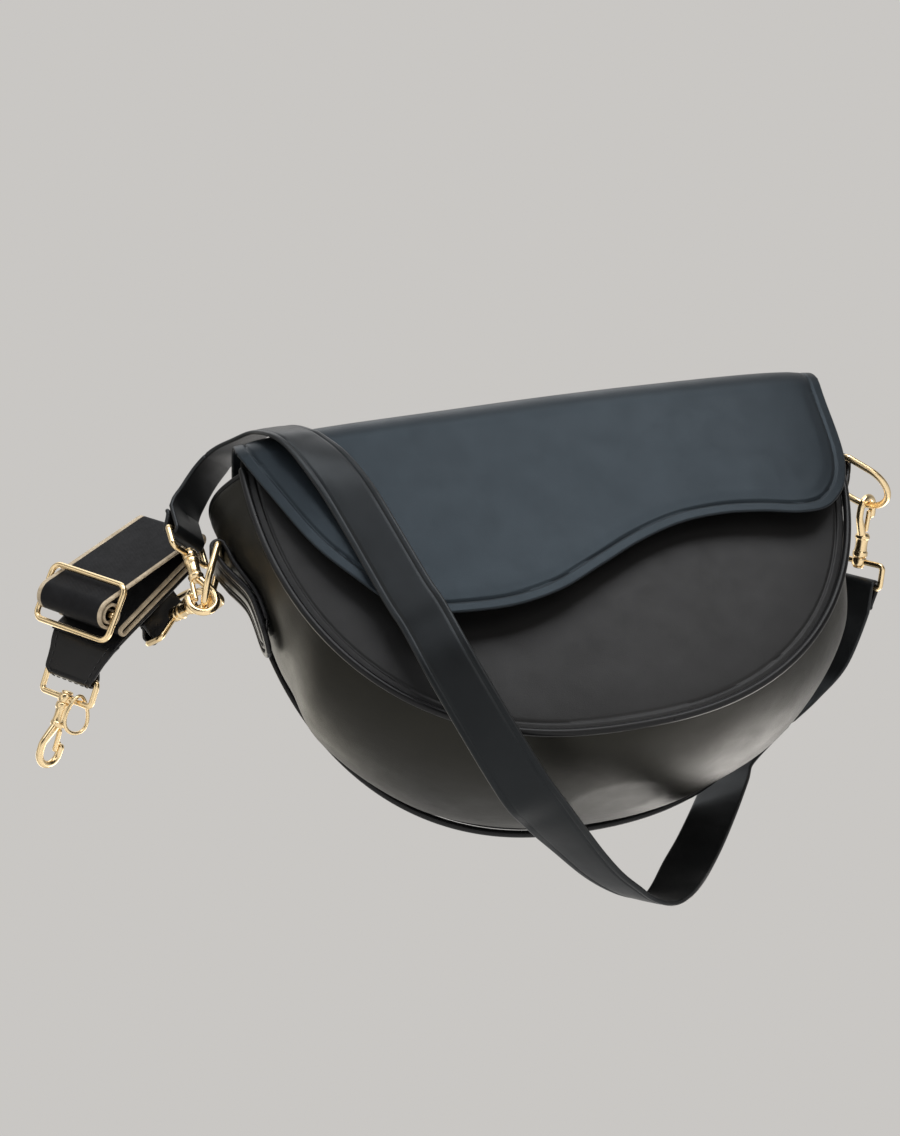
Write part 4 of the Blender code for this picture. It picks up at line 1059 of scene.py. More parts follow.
def lining_material(pitch: float = 0.0006) -> Material:
    """Dark woven lining cloth: two crossed sets of threads on the UV, uneven in tone.

    Args:
        pitch: How far apart its threads lie.

    Returns:
        The material.
    """
    p = Painter("lining_cloth")
    p.set(Sheen_Weight=0.25, Sheen_Roughness=0.5, Specular_IOR_Level=0.3)
    along, across = p.along_and_across()
    weave = p.math("MULTIPLY", p.wave(along, pitch), p.wave(across, pitch))
    tone = p.ramp(p.noise(0.02), [(0.3, (0.030, 0.028, 0.027)), (0.7, (0.052, 0.049, 0.046))])
    color = p.mix(p.math("MULTIPLY_ADD", weave, 0.15, 0.15), tone, (0.085, 0.080, 0.075))
    slack = p.bump(p.noise(0.012), distance=0.0004, strength=0.4)
    normal = p.bump(weave, distance=0.00008, strength=0.7, under=slack)
    rough = p.math("MULTIPLY_ADD", p.noise(0.006), 0.15, 0.75)
    return p.wire(Base_Color=color, Roughness=rough, Normal=normal)


def webbing_material(width: float, rib_pitch: float = 0.0011, twill_pitch: float = 0.0016,
                     thread_pitch: float = 0.0009) -> Material:
    """Close woven webbing: ribs along and across on the UV, with sand coloured edges.

    Args:
        width: The webbing's width.
        rib_pitch: How far apart its ribs lie.
        twill_pitch: How far apart its slanted lines lie.
        thread_pitch: How far apart its lengthwise threads lie.

    Returns:
        The material.
    """
    p = Painter("webbing_weave")
    p.set(Sheen_Weight=0.01, Sheen_Roughness=0.4, Specular_IOR_Level=0.10)
    along, across = p.along_and_across()
    twill = p.wave(p.math("ADD", along, p.math("MULTIPLY", across, 0.5)), twill_pitch)
    rib = p.math("MULTIPLY", p.wave(along, rib_pitch), p.wave(across, thread_pitch))
    weave = p.math("MULTIPLY_ADD", twill, 0.5, rib)
    off = p.math("ABSOLUTE", p.math("SUBTRACT", across, width / 2))
    band = p.fit(off, (width / 2 - 0.0021, width / 2 - 0.0018))
    sand = p.math("MAXIMUM", band, p.cut_edge())
    tone = p.ramp(p.noise(0.01), [(0.3, (0.005, 0.005, 0.0055)), (0.7, (0.009, 0.009, 0.010))])
    pale = p.ramp(p.noise(0.003, detail=4.0),
                  [(0.3, (0.30, 0.24, 0.165)), (0.7, (0.47, 0.39, 0.28))])
    rough = p.math("MULTIPLY_ADD", p.noise(0.002), 0.2, 0.52)
    return p.wire(Base_Color=p.mix(sand, tone, pale), Roughness=rough,
                  Normal=p.bump(weave, distance=0.00004, strength=0.35))


def plated_material(look: Plating) -> Material:
    """Plated metal: soft waves from polishing, hairline scratches and a duller film.

    Args:
        look: The numbers of this plating.

    Returns:
        The material.
    """
    p = Painter(look.name)
    p.set(Metallic=1.0)
    film = p.noise(0.005, detail=4.0, rough=0.6)
    scratch = p.noise(0.0007, detail=2.0, rough=0.5, stretch=(1, 1, 9))
    duller = tuple(c * look.dull for c in look.color)
    tone = p.mix(p.math("MULTIPLY", film, 0.35), look.color, duller)
    rough = p.math("MULTIPLY_ADD", film, 0.12, look.rough - 0.05)
    rough = p.math("MULTIPLY_ADD", scratch, 0.05, rough)
    polish = p.bump(p.noise(0.006, detail=2.0), distance=0.00005, strength=0.20)
    normal = p.bump(scratch, distance=0.00001, strength=0.10, under=polish)
    return p.wire(Base_Color=tone, Roughness=rough, Normal=normal)


def thread_material() -> Material:
    """Waxed black thread with its twist."""
    p = Painter("thread")
    p.set(Specular_IOR_Level=0.3)
    twist = p.noise(0.0004, detail=2.0)
    color = p.ramp(twist, [(0.3, (0.012, 0.012, 0.013)), (0.7, (0.034, 0.034, 0.035))])
    return p.wire(Base_Color=color, Roughness=p.math("MULTIPLY_ADD", twist, 0.2, 0.4),
                  Normal=p.bump(twist, distance=0.00006, strength=0.6))


@dataclass
class Finishes:
    """Every finish of the bag."""

    flap: Material
    panel: Material
    gusset: Material
    trim: Material
    strap: Material
    suede: Material
    lining: Material
    webbing: Material
    gold: Material
    steel: Material
    thread: Material

    @classmethod
    def make(cls) -> "Finishes":
        """Builds them all."""
        leathers = {key: leather_material(look) for key, look in LEATHERS.items()}
        return cls(**leathers, lining=lining_material(), webbing=webbing_material(S.web_width),
                   gold=plated_material(GOLD), steel=plated_material(SNAP_PLATE),
                   thread=thread_material())


@dataclass
class Assembly:
    """A sub-assembly, which makes its pieces in order and keeps them."""

    looks: Finishes
    pieces: list[Object] = field(default_factory=list, init=False)

    def add(self, name: str, patch: Patch, finish: Material, body: str,
            replaces: Sequence[str] = (), sharp: float = SHARP_ANGLE) -> Object:
        """Makes one piece, with make_object's arguments, and keeps it."""
        self.pieces.append(make_object(name, patch, finish, body, replaces, sharp))
        return self.pieces[-1]

    def build(self) -> None:
        """Makes every piece."""
        raise NotImplementedError


# The bag's outline and surfaces


class Outline:
    """The half moon seam: a superellipse below the mouth, read by its length."""

    POINTS = 8001
    NORMAL_REACH = 0.004

    def __init__(self) -> None:
        """Works out the seam at close points, with its running length as a share."""
        s = np.linspace(0.0, 1.0, self.POINTS)
        c, d = np.cos(np.pi * s), np.abs(np.sin(np.pi * s))
        self.x = -S.half_width * np.sign(c) * np.abs(c) ** (2 / S.power_x)
        self.z = S.gusset_bulge + S.panel_height * (1 - d ** (2 / S.power_z))
        self.z[[0, -1]] = S.corner
        run = np.concatenate([[0.0], np.cumsum(np.hypot(np.diff(self.x), np.diff(self.z)))])
        self.run = run / run[-1]

    def at(self, share: Array) -> tuple[Array, Array, Array, Array]:
        """The seam and its outward normal, from points a small reach to both sides.

        Args:
            share: Shares of the seam's length.

        Returns:
            X, Z and the normal's X and Z.
        """
        x, z = np.interp(share, self.run, self.x), np.interp(share, self.run, self.z)
        a, b = (np.clip(share + step, 0, 1) for step in (-self.NORMAL_REACH, self.NORMAL_REACH))
        dx = np.interp(b, self.run, self.x) - np.interp(a, self.run, self.x)
        dz = np.interp(b, self.run, self.z) - np.interp(a, self.run, self.z)
        size = np.hypot(dx, dz)
        return x, z, dz / size, -dx / size

    def seam(self, share: Array, out: Array | float, y: Array | float) -> Array:
        """Points moved out from the seam, at depth y."""
        x, z, nx, nz = self.at(share)
        return np.stack(np.broadcast_arrays(x + nx * out, y + 0 * x, z + nz * out), axis=-1)


def bulge(z: Array) -> Array:
    """The gusset's crown over its seams, eased between the rows of SWELL.

    Args:
        z: Heights of the seam.

    Returns:
        How far the gusset's middle stands out there.
    """
    height, swell = np.array(SWELL).T
    share = np.clip(z / S.corner, 0, 1)
    k = np.clip(np.searchsorted(height, share, side="right") - 1, 0, len(height) - 2)
    t = (share - height[k]) / (height[k + 1] - height[k])
    eased = swell[k] + (swell[k + 1] - swell[k]) * t * t * (3 - 2 * t)
    return S.gusset_bulge + S.flat_foot + S.gusset_swell * eased


def half_depth(z: Array) -> Array:
    """Half the bag's depth, straight from foot to mouth."""
    share = np.clip((z - S.gusset_bulge) / S.panel_height, 0, 1)
    return (S.base_depth + (S.top_depth - S.base_depth) * share) / 2


def fullness(x: Array, z: Array, ease: float = 0.8) -> Array:
    """1 in the middle of a panel's mouth edge, falling to 0 at its seam by a power ease."""
    down = (np.maximum(S.corner - z, 0) / S.panel_height) ** S.power_z
    return np.maximum(1 - np.abs(x / S.half_width) ** S.power_x - down, 0) ** ease


def front_y(x: Array, z: Array) -> Array:
    """The front panel's outer face."""
    return -half_depth(z) - S.front_dome * fullness(x, z)


def back_y(x: Array, z: Array) -> Array:
    """The back panel's outer face."""
    eased = np.clip((S.corner - z) / (S.panel_height / 2), 0, 1)
    return half_depth(z) + S.back_dome * fullness(x, z) * eased


def flap_y(x: Array, z: Array, inset: float) -> Array:
    """The hanging flap's face: the bag's front, a crown, the plies and a lift towards its foot.

    Args:
        x: Places across the flap.
        z: Their heights.
        inset: How far behind the outer face the wanted one lies.

    Returns:
        The face's depth at each place.
    """
    crown = S.front_dome * np.maximum(1 - (x / S.flap_half) ** 4, 0)
    lift = S.flap_lift * (np.maximum(S.flap_top - z, 0) / S.flap_drop) ** 2
    thick = S.flap_skin + S.flap_inner + S.flap_ply_gap
    return -(half_depth(z) + crown + S.flap_standoff + thick + lift - inset)


@dataclass
class BagBody(Assembly):
    """The leather shell, its lining, pipings and bindings, with rows and columns of their grids."""

    outline: Outline
    body: str = "bag"
    front_grid: Counts = (90, 321)
    back_grid: Counts = (70, 261)
    side_grid: Counts = (57, 261)
    lining_grid: Counts = (26, 161)
    lining_side_rows: int = 21
    ear_grid: Counts = (41, 161)
    seam_points: int = 700
    trim_points: int = 361
    panel_rim: float = 0.5
    side_rim: float = 0.3
    seam_ease: float = 1.5
    crown_power: float = 2.2
    seam_hold: Pair = (0.85, 1.0)

    def panel_grid(self, surface: Callable[[Array, Array], Array], size: Counts,
                   inset: float, drop: float) -> Array:
        """Upright lines from the mouth down to the seam, closer together near the seam.

        Args:
            surface: Gives a face's depth from X and Z.
            size: Rows and columns.
            inset: How far inside the seam the grid ends.
            drop: How far below the mouth it starts.

        Returns:
            The grid of points.
        """
        rows, columns = size
        foot = self.outline.seam(np.linspace(0, 1, columns), -inset, 0.0)
        top_x = foot[:, 0] * (1 - S.mouth_corner / S.half_width)
        top_z = S.corner - drop
        foot_z = np.minimum(foot[:, 2], top_z)
        t = 1 - (1 - np.linspace(0, 1, rows)[:, None]) ** self.seam_ease
        x = top_x + (foot[:, 0] - top_x) * t
        z = top_z + (foot_z - top_z) * t
        return np.stack([x, surface(x, z), z], axis=-1)

    def panel_depth(self, grid: Array) -> Array:
        """A raised band along the seam, the groove inside it, and a soft unevenness."""
        x, z, _, _ = self.outline.at(np.linspace(0, 1, self.seam_points))
        away = edge_distance(grid[..., [0, 2]], np.stack([x, z], axis=1))
        return pressed(away, PANEL_MARKS) + PANEL_SAG.at(grid, away)

    def gusset_grid(self, inset: float, drop: float, size: Counts, gap: float) -> Array:
        """The side and foot strip, crowned between its two seams: out = bulge (1 - |u| ^ power).

        Args:
            inset: How far inside the outer face the grid lies.
            drop: How far below the mouth it starts.
            size: Rows across the strip and columns along it.
            gap: How far short of the panels it ends.

        Returns:
            The grid of points.
        """
        share = np.linspace(0, 1, size[1])
        _, z, _, _ = self.outline.at(share)
        u = np.linspace(-1, 1, size[0])[:, None]
        out = bulge(z) * (1 - np.abs(u) ** self.crown_power) - inset
        grid = self.outline.seam(np.broadcast_to(share, size), out, u * (half_depth(z) - gap))
        grid[..., 2] = np.clip(grid[..., 2], inset, S.corner - drop)
        return grid

    def build(self) -> None:
        """Makes every piece of the shell."""
        for name, node, surface, size, side in (
            ("front_leather", "front_panel", front_y, self.front_grid, 1),
            ("back_leather", "back_panel", back_y, self.back_grid, -1),
        ):
            grid = self.panel_grid(surface, size, S.panel_gap, 0)
            sheet = skin(grid, S.leather, side, self.panel_rim, self.panel_depth(grid))
            self.add(name, sheet, self.looks.panel, self.body, [node])
        grid = self.gusset_grid(0, 0, self.side_grid, S.leather + S.panel_gap)
        across = np.abs(np.linspace(-1, 1, len(grid)))[:, None]
        sag = GUSSET_SAG.at(grid, grid[..., 2]) * (1 - smooth(*self.seam_hold, across))
        self.add("gusset_leather", skin(grid, S.leather, 1, self.side_rim, sag), self.looks.gusset,
                 self.body, ["gusset"])
        self.make_lining()
        self.make_trim()

    def make_lining(self) -> None:
        """One thin cloth bag inside the leather: front, gusset and back in a single sheet."""
        inset, drop = S.lining_inset, S.lining_drop
        front = self.panel_grid(lambda x, z: front_y(x, z) + inset, self.lining_grid, inset, drop)
        back = self.panel_grid(lambda x, z: back_y(x, z) - inset, self.lining_grid, inset, drop)
        side = self.gusset_grid(inset, drop, (self.lining_side_rows, self.lining_grid[1]), inset)
        grid = np.concatenate([front[:-1], side, back[-2::-1]])
        self.add("lining_bag", skin(grid, S.lining), self.looks.lining, self.body, ["lining"])

    def make_trim(self) -> None:
        """The piping round both panels and the bound top edges of the gusset."""
        share = np.linspace(0, 1, self.trim_points)
        reach = (S.piping + S.gap) * math.sqrt(0.5)
        _, z, nx, nz = self.outline.at(share)
        for side, name in ((-1, "front_piping"), (1, "back_piping")):
            path = self.outline.seam(share, reach, side * (half_depth(z) + reach))
            cord = tube(path, S.piping, np.stack([nx, side + 0 * nx, nz], axis=1), 18)
            self.add(name + "_cord", cord, self.looks.trim, self.body, [name])
        for name, row in (("left_ear_binding", 0), ("right_ear_binding", -1)):
            edge = self.gusset_grid(S.leather / 2, 0, self.ear_grid, S.ear_binding * 2)[:, row]
            edge = edge + np.array([0, 0, S.ear_binding + S.gap])
            fold = tube(edge, S.ear_binding, UP)
            self.add(name + "_fold", fold, self.looks.trim, self.body, [name])


@dataclass
class Flap(Assembly):
    """The flap: outer leather in one piece with its sewn root, the inner ply and the snap.

    Its grids have over_rows from the hinge to the fold, fold_rows round it, fall_rows down the
    front and root_rows in the root.
    """

    over_rows: int = 40
    fold_rows: int = 14
    fall_rows: int = 70
    root_rows: int = 16
    middle_columns: int = 150
    edge_points: int = 900
    fall_ease: float = 1.6
    inner_trim: float = 0.975
    mark_rows: int = 12
    blend_start: Pair = (0.0, -0.0013)
    blend_end: Pair = (-0.0024, 0.0006)
    seams: tuple[tuple[int, float], ...] = ((8, 0.02), (2, 0.03))
    snap_radius: float = 0.008
    snap_height: float = 0.0013

    @property
    def hinge(self) -> Pair:
        """Y and Z of the line that it turns about."""
        y = float(half_depth(np.array(S.corner))) + S.gap + S.panel_gap + S.root_leather
        return y, S.corner + S.hinge_rise

    def columns(self) -> Array:
        """Shares across the flap, closer together at its two sides."""
        near = np.array(FLAP_SIDE_COLUMNS) * MM / (2 * S.flap_half)
        middle = np.linspace(near[-1], 1 - near[-1], self.middle_columns)
        return np.concatenate([near[:-1], middle, 1 - near[-2::-1]])

    def over(self, x_fold: Array, inset: float) -> Array:
        """The quarter turn from the hinge over the top, as an ellipse in Y and Z.

        Args:
            x_fold: Places across the fold.
            inset: How far inside the outer face it lies.

        Returns:
            Rows of points up to the fold.
        """
        hinge_y, hinge_z = self.hinge
        out_y = hinge_y - S.gap - inset
        fold_y = flap_y(x_fold, S.flap_top - S.fold_radius, 0) + S.fold_radius
        turn = (np.pi / 2 * np.arange(self.over_rows) / self.over_rows)[:, None]
        y = fold_y + (out_y - fold_y) * np.cos(turn)
        foot = hinge_z + S.gap * 3
        z = foot + (S.flap_top - inset - foot) * np.sin(turn) + 0 * y
        return np.stack([x_fold + 0 * y, y, z], axis=-1)

    def grid(self, inset: float, trim: float) -> Array:
        """From the hinge over the top to the fold, then down the front to the free edge.

        Args:
            inset: How far inside the outer face the grid lies.
            trim: How wide it is, as a share of the flap.

        Returns:
            The grid of points.
        """
        share = self.columns()
        edge = spline(np.array(FLAP_EDGE) * (S.half_width, S.flap_drop), 12)
        edge = np.concatenate([edge, np.zeros((len(edge), 1))], axis=1)
        x_end, drop_end = (resample(edge, share)[:, :2] * trim).T
        x_fold = S.flap_half * trim * (2 * share - 1)
        bend = np.minimum(S.fold_radius - inset, (drop_end - inset) * 0.6)
        turn = np.linspace(0, np.pi / 2, self.fold_rows)[:, None]
        fold = inset + bend * (1 - np.cos(turn))
        q = 1 - (1 - np.linspace(0, 1, self.fall_rows)[1:, None]) ** self.fall_ease
        drops = np.concatenate([fold, fold[-1] + (drop_end - fold[-1]) * q])
        x = x_fold + (x_end - x_fold) * (drops - inset) / (drop_end - inset)
        z = S.flap_top - drops
        y = flap_y(x, np.minimum(z, S.flap_top - S.fold_radius), inset)
        radius = S.fold_radius - inset
        rise = np.clip((S.fold_radius - drops) / radius, 0, 1)
        y = y + radius * (1 - np.sqrt(np.maximum(1 - rise**2, 0))) * (drops < S.fold_radius)
        return np.concatenate([self.over(x_fold, inset), np.stack([x, y, z], axis=-1)])

    def root(self, share: Array) -> Array:
        """The strip sewn to the back panel, narrower towards its foot.

        Args:
            share: Shares across the flap.

        Returns:
            Its grid of points, from the foot up.
        """
        t = np.linspace(1, 0, self.root_rows)[:-1, None]
        half = S.flap_half + (S.root_half - S.flap_half) * smooth(0.0, 0.8, t)
        x = half * (2 * share - 1)[None]
        z = self.hinge[1] - S.gap - S.root_height * t + 0 * x
        y = back_y(x, z) + S.gap + S.panel_gap + S.root_leather
        return np.stack([x, y, z], axis=-1)

    def build(self) -> None:
        """Makes the flap's pieces, its outer leather one sheet from the root over the hinge."""
        root = self.root(self.columns())
        grid = np.concatenate([root, self.grid(0, 1.0)])
        free = grid[len(root) + 2:]
        line = np.concatenate([free[:, 0], grid[-1, 1:-1], free[:, -1][::-1]])
        away = edge_distance(grid, resample(line, np.linspace(0, 1, self.edge_points)))
        relief = pressed(away, FLAP_MARKS) + FLAP_SAG.at(grid, away)
        relief *= smooth(0, self.mark_rows, np.arange(len(grid)) - len(root))[:, None]
        piece = self.add("flap_leather_piece", skin(grid, S.flap_skin, depth=relief),
                         self.looks.flap, "", ["flap_skin", "flap_root"])
        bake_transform(piece)
        inner = self.grid(S.flap_skin + S.flap_ply_gap, self.inner_trim)
        self.add("flap_inner_ply", skin(inner, S.flap_inner), self.looks.suede, "flap",
                 ["flap_lining"])
        rows = [resample(root[row], np.linspace(side, 1 - side, 200)) for row, side in self.seams]
        sewn = joined([stitches(row, np.array([0, 1.0, 0.05])) for row in rows])
        self.add("flap_root_stitches", sewn, self.looks.thread, "bag")
        self.make_snap()

    def make_snap(self) -> None:
        """Two magnetic discs that face each other, each with a rim and a shallow dish."""
        plain = rounded(turned(DISC_SHARES, self.snap_radius, 0, self.snap_height), 0.35)
        facing_down = plain * (1, -1) + (0, self.snap_height)
        for name, low, disc, body in (("snap_base", 0.0005, plain, "bag"),
                                      ("snap_stud", -0.0018, facing_down, "flap")):
            patch = lathe(disc + (0, low), 48).through(frame_of(name))
            self.add(name + "_disc", patch, self.looks.steel, body, [name], 40)


@dataclass
class SideTab(Assembly):
    """A strip folded round a D ring's bar and sewn to the gusset.

    Its middle line has inner_rows up the inside, turn_rows round the bar, and the face's rows.
    """

    outline: Outline
    name: str
    side: int
    inner_rows: int = 14
    turn_rows: int = 25
    columns: int = 41
    face_row: int = 44
    mark_rows: Counts = (40, 50)
    stitch_rows: Counts = (48, 88)
    stitch_places: Pair = (-0.3, 0.3)
    least_width: float = 0.2

    def side_x(self, z: Array, out: float) -> Array:
        """Half the bag's width over the gusset's crown.

        Args:
            z: Heights.
            out: How far out of the gusset.

        Returns:
            The half width at each height.
        """
        share = np.linspace(0, 0.5, 3000)
        line = self.outline.seam(share, bulge(self.outline.at(share)[1]) + out, 0.0)
        order = np.argsort(line[:, 2])
        return -np.interp(z, line[order, 2], line[order, 0])

    def path(self) -> tuple[Array, Array]:
        """The strip's middle line and its width: up the inside, round the bar, down outside."""
        top, out, side = S.pivot_height, S.pivot_out, self.side
        radius = S.ring_wire + S.gap + S.tab_leather / 2
        inner_gap = S.tab_seat + S.tab_leather / 2
        outer_gap = inner_gap + S.tab_leather + S.gap
        z = top - S.tab_inner * (1 - np.arange(self.inner_rows) / self.inner_rows)
        inner = np.stack([side * self.side_x(z, inner_gap), 0 * z, z], axis=1)
        turn = np.pi * np.arange(self.turn_rows) / (self.turn_rows - 1)
        x = side * (out - radius * np.cos(turn))
        bend = np.stack([x, 0 * turn, top + radius * np.sin(turn)], axis=1)
        nose = 1 - 0.2 * (1 - np.linspace(0.03, 1, 30)) ** 2
        t = np.concatenate([np.linspace(0.08, 0.8, 34), nose])
        z = top - S.tab_length * t
        seat = self.side_x(z, outer_gap)
        blend = np.maximum(1 - t / 0.5, 0) ** 2
        x = side * (seat + (out + radius - seat) * blend)
        outer = np.stack([x, 0 * z, z], axis=1)
        left = np.clip((z - (top - S.tab_length)) / (S.tab_width / 2), 0, 1)
        share = np.sqrt(np.maximum(1 - (1 - left) ** 2, 0))
        width = S.tab_width * np.maximum(share, self.least_width)
        width = np.concatenate([np.full(len(inner) + len(bend), S.tab_width), width])
        return np.concatenate([inner, bend, outer]), width

    def build(self) -> None:
        """Makes the tab with its raised ridges, and its stitches."""
        middle, width = self.path()
        across = np.linspace(-0.5, 0.5, self.columns)
        way = np.array([0, 1.0, 0])
        grid = middle[:, None] + way * (across[None] * width[:, None])[..., None]
        face = grid[self.face_row:]
        line = np.concatenate([face[:, 0], grid[-1], face[:, -1][::-1]])
        away = edge_distance(grid, resample(line, np.linspace(0, 1, 400)))
        relief = pressed(away, TAB_MARKS) * smooth(*self.mark_rows, np.arange(len(grid)))[:, None]
        piece = skin(grid, S.tab_leather, self.side, 0.9, relief, centred=True)
        self.add(self.name + "_strip", piece, self.looks.trim, "bag", [self.name])
        out = np.array([self.side * (S.tab_leather / 2), 0, 0])
        rows = [middle[slice(*self.stitch_rows)] + out + way * place * S.tab_width
                for place in self.stitch_places]
        lean = np.array([self.side, 0, -0.2])
        sewn = joined([stitches(row, lean, 2.9 * MM, 2.1 * MM) for row in rows])
        self.add(self.name + "_stitches", sewn, self.looks.thread, "bag")


# Metal


@dataclass
class DRing(Assembly):
    """A D ring of round wire: a straight bar with two tight corners and a half round bow."""

    name: str
    corner_share: float = 1.4

    def build(self) -> None:
        """Makes the ring on its own body."""
        corner = S.ring_wire * self.corner_share
        turn = np.linspace(0, np.pi / 2, 8)
        y = -S.ring_half + corner * (1 - np.sin(turn))
        first = np.stack([0 * turn, y, -corner * (1 - np.cos(turn))], axis=1)
        sweep = np.linspace(0, np.pi, 49)
        z = -S.ring_leg - S.ring_half * np.sin(sweep)
        bow = np.stack([0 * sweep, -S.ring_half * np.cos(sweep), z], axis=1)
        last = first[::-1] * (1, -1, 1)
        legs = np.linspace(0, 1, 8)[1:-1, None]
        down = first[-1] + (bow[0] - first[-1]) * legs
        up = bow[-1] + (last[0] - bow[-1]) * legs
        bar = last[-1] + (first[0] - last[-1]) * np.linspace(0, 1, 16)[1:-1, None]
        path = np.concatenate([first, down, bow, up, last, bar])
        wire = tube(path, S.ring_wire, (1, 0, 0), 20, closed=True).through(frame_of(self.name))
        self.add(self.name + "_wire", wire, self.looks.gold, self.name, [self.name])


@dataclass
class SnapHook(Assembly):
    """A swivel snap hook: body, spring gate and the strap's loop, each on its own body."""

    name: str
    inner_width: float
    wire_sides: int = 18
    sharp: float = 45.0

    @property
    def low(self) -> float:
        """Height of the hook's wire where it hangs on the ring."""
        return -(S.ring_wire + S.hook_gap + S.hook_wire)

    def body(self) -> Patch:
        """The hook's wire, its turned neck, post and rivet head."""
        eye, wire = S.hook_eye, S.hook_wire
        middle = self.low + eye
        turn = np.linspace(0, np.pi, 33)
        bend = np.stack([-eye * np.cos(turn), 0 * turn, middle - eye * np.sin(turn)], axis=1)
        tip = np.array([[-eye, 0, middle + wire * 1.6], [-eye, 0, middle + wire * 0.8]])
        knots = [(eye * x, 0, middle + eye * z) for x, z in SHANK_SHARES]
        shank = spline(knots + [(eye * SHANK_END_SHARE, 0, S.shank_top)], 8)[1:]
        path = np.concatenate([tip, bend, shank])
        radius = np.full(len(path), wire)
        radius[:2] *= 1.06
        radius[-16:] *= np.linspace(1.0, 1.25, 16)
        hook = tube(path, radius, (0, 1, 0), self.wire_sides)
        foot = S.neck_top + 2 * S.hook_gap + S.boss_height
        neck = turned(NECK_SHARES, S.neck_radius, S.neck_foot, S.neck_top)
        post = turned(POST_SHARES, S.post, S.neck_top - wire, foot + S.head_thick / 2)
        head = turned(HEAD_SHARES, S.head, foot, foot + S.head_thick)
        return joined([hook] + [lathe(rounded(profile)) for profile in (neck, post, head)])

    def gate(self) -> Patch:
        """The gate: a slim lever with a thumb stud on its outer side."""
        tip = self.low + S.hook_eye + S.hook_wire * 1.6
        foot = np.array([-S.hook_eye + S.hook_wire + S.hook_gap + S.gate, 0, tip - S.gate])
        top = np.array([-S.neck_radius + S.gate, 0, S.neck_foot - S.gate - S.hook_gap])
        path = spline([foot, foot + (0, 0, (top[2] - foot[2]) * 0.25), top], 12)
        lever = tube(path, S.gate, (0, 1, 0))
        stud = lathe(rounded(np.array(STUD_PROFILE) * MM), 20)
        turn = np.eye(4)
        turn[:3, :3] = np.array([[0, 0, -1.0], [0, 1, 0], [1, 0, 0]])
        turn[:3, 3] = path[14] + (-S.gate * 0.6, 0, 0)
        return joined([lever, stud.through(turn)])

    def loop(self) -> Patch:
        """The strap's rectangular loop and the swivel boss in its lower bar."""
        foot = S.neck_top + S.hook_gap + S.boss_height / 2
        top = foot + S.loop_height + 2 * S.loop_wire
        half = self.inner_width / 2 + S.loop_wire
        c = S.loop_corner
        ring = round_corners(((half - c, foot + c, -90), (half - c, top - c, 0),
                              (-half + c, top - c, 90), (-half + c, foot + c, 180)), c, 9, 160)
        path = np.stack([0 * ring[:, 0], ring[:, 0], ring[:, 1]], axis=1)
        wire = tube(path, S.loop_wire, (1, 0, 0), self.wire_sides, closed=True)
        low = S.neck_top + S.hook_gap
        high = low + S.boss_height
        r, bore = S.boss, S.post + S.hook_gap
        lip = (r - bore) * 0.25
        profile = [(bore, low + lip), (bore + lip, low), (r - lip, low), (r, low + lip),
                   (r, high - lip), (r - lip, high), (bore + lip, high), (bore, high - lip)]
        return joined([self.open_wire(wire, bore), lathe(profile, 40, hollow=True)])

    @staticmethod
    def open_wire(wire: Patch, bore: float) -> Patch:
        """The loop's wire pressed flat inside the boss, so that the post has its bore.

        Args:
            wire: The loop's wire.
            bore: The boss's inner radius.

        Returns:
            The wire with its middle pushed out to both sides.
        """
        points = wire.points.copy()
        near = (np.abs(points[:, 1]) < bore * 1.6) & (points[:, 2] < S.neck_top + S.boss_height)
        sign = np.where(points[:, 0] >= 0, 1.0, -1.0)
        out = np.sqrt(np.maximum((bore * 1.15) ** 2 - points[:, 1] ** 2, 0))
        points[near, 0] = (sign * np.maximum(np.abs(points[:, 0]), out))[near]
        return Patch(points, wire.quads, wire.caps, wire.uv)

    def build(self) -> None:
        """Places the three pieces."""
        for part, patch in (("", self.body()), ("_gate", self.gate()), ("_loop", self.loop())):
            node = self.name + (part or "_body")
            frame = frame_of(self.name + ("_loop" if part == "_loop" else ""))
            self.add(node + "_cast", patch.through(frame), self.looks.gold, self.name + part,
                     [node], self.sharp)


# Straps


def wrap_line(thickness: float, tail: float) -> Array:
    """A strap's end round a bar at the origin, from its sewn tail to the way out up Z.

    Args:
        thickness: The strap's.
        tail: How long its sewn end is.

    Returns:
        X and Z along the strap's middle line.
    """
    radius = S.loop_wire + S.gap + thickness / 2
    sewn = radius - thickness - S.gap
    head = np.array([(sewn, tail), (sewn, tail * 0.8), (-radius, radius * 0.7), (-radius, 0.0)])
    turn = np.pi + np.pi * np.arange(1, 25) / 24
    bend = radius * np.stack([np.cos(turn), np.sin(turn)], axis=1)
    return np.concatenate([spline(head, 6), bend, [(radius, tail * 0.6), (radius, tail * 1.1)]])


def ribbon(centres: Array, sides: Array, widths: Array | float, across: Array) -> Array:
    """A grid along a strap's middle line, its rows square to the line.

    Args:
        centres: The middle line.
        sides: The way across at each of its points.
        widths: The strap's width, or one for each point.
        across: Places across the strap, as shares of its width.

    Returns:
        The grid of points.
    """
    along = unit(np.gradient(centres, axis=0))
    side = unit(sides - along * (sides * along).sum(1, keepdims=True))
    width = np.broadcast_to(np.asarray(widths, float), (len(centres),))
    return centres[:, None] + side[:, None] * (width[:, None] * across[None])[..., None]


@dataclass(frozen=True)
class StrapSpan:
    """A length of the strap between two rows, with the body named for it and two points, start and
    end.
    """

    name: str
    first: int
    last: int
    body: str
    start: Point
    end: Point

    def hold(self, thing: Object) -> None:
        """Bakes a piece's placement into its mesh."""
        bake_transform(thing)


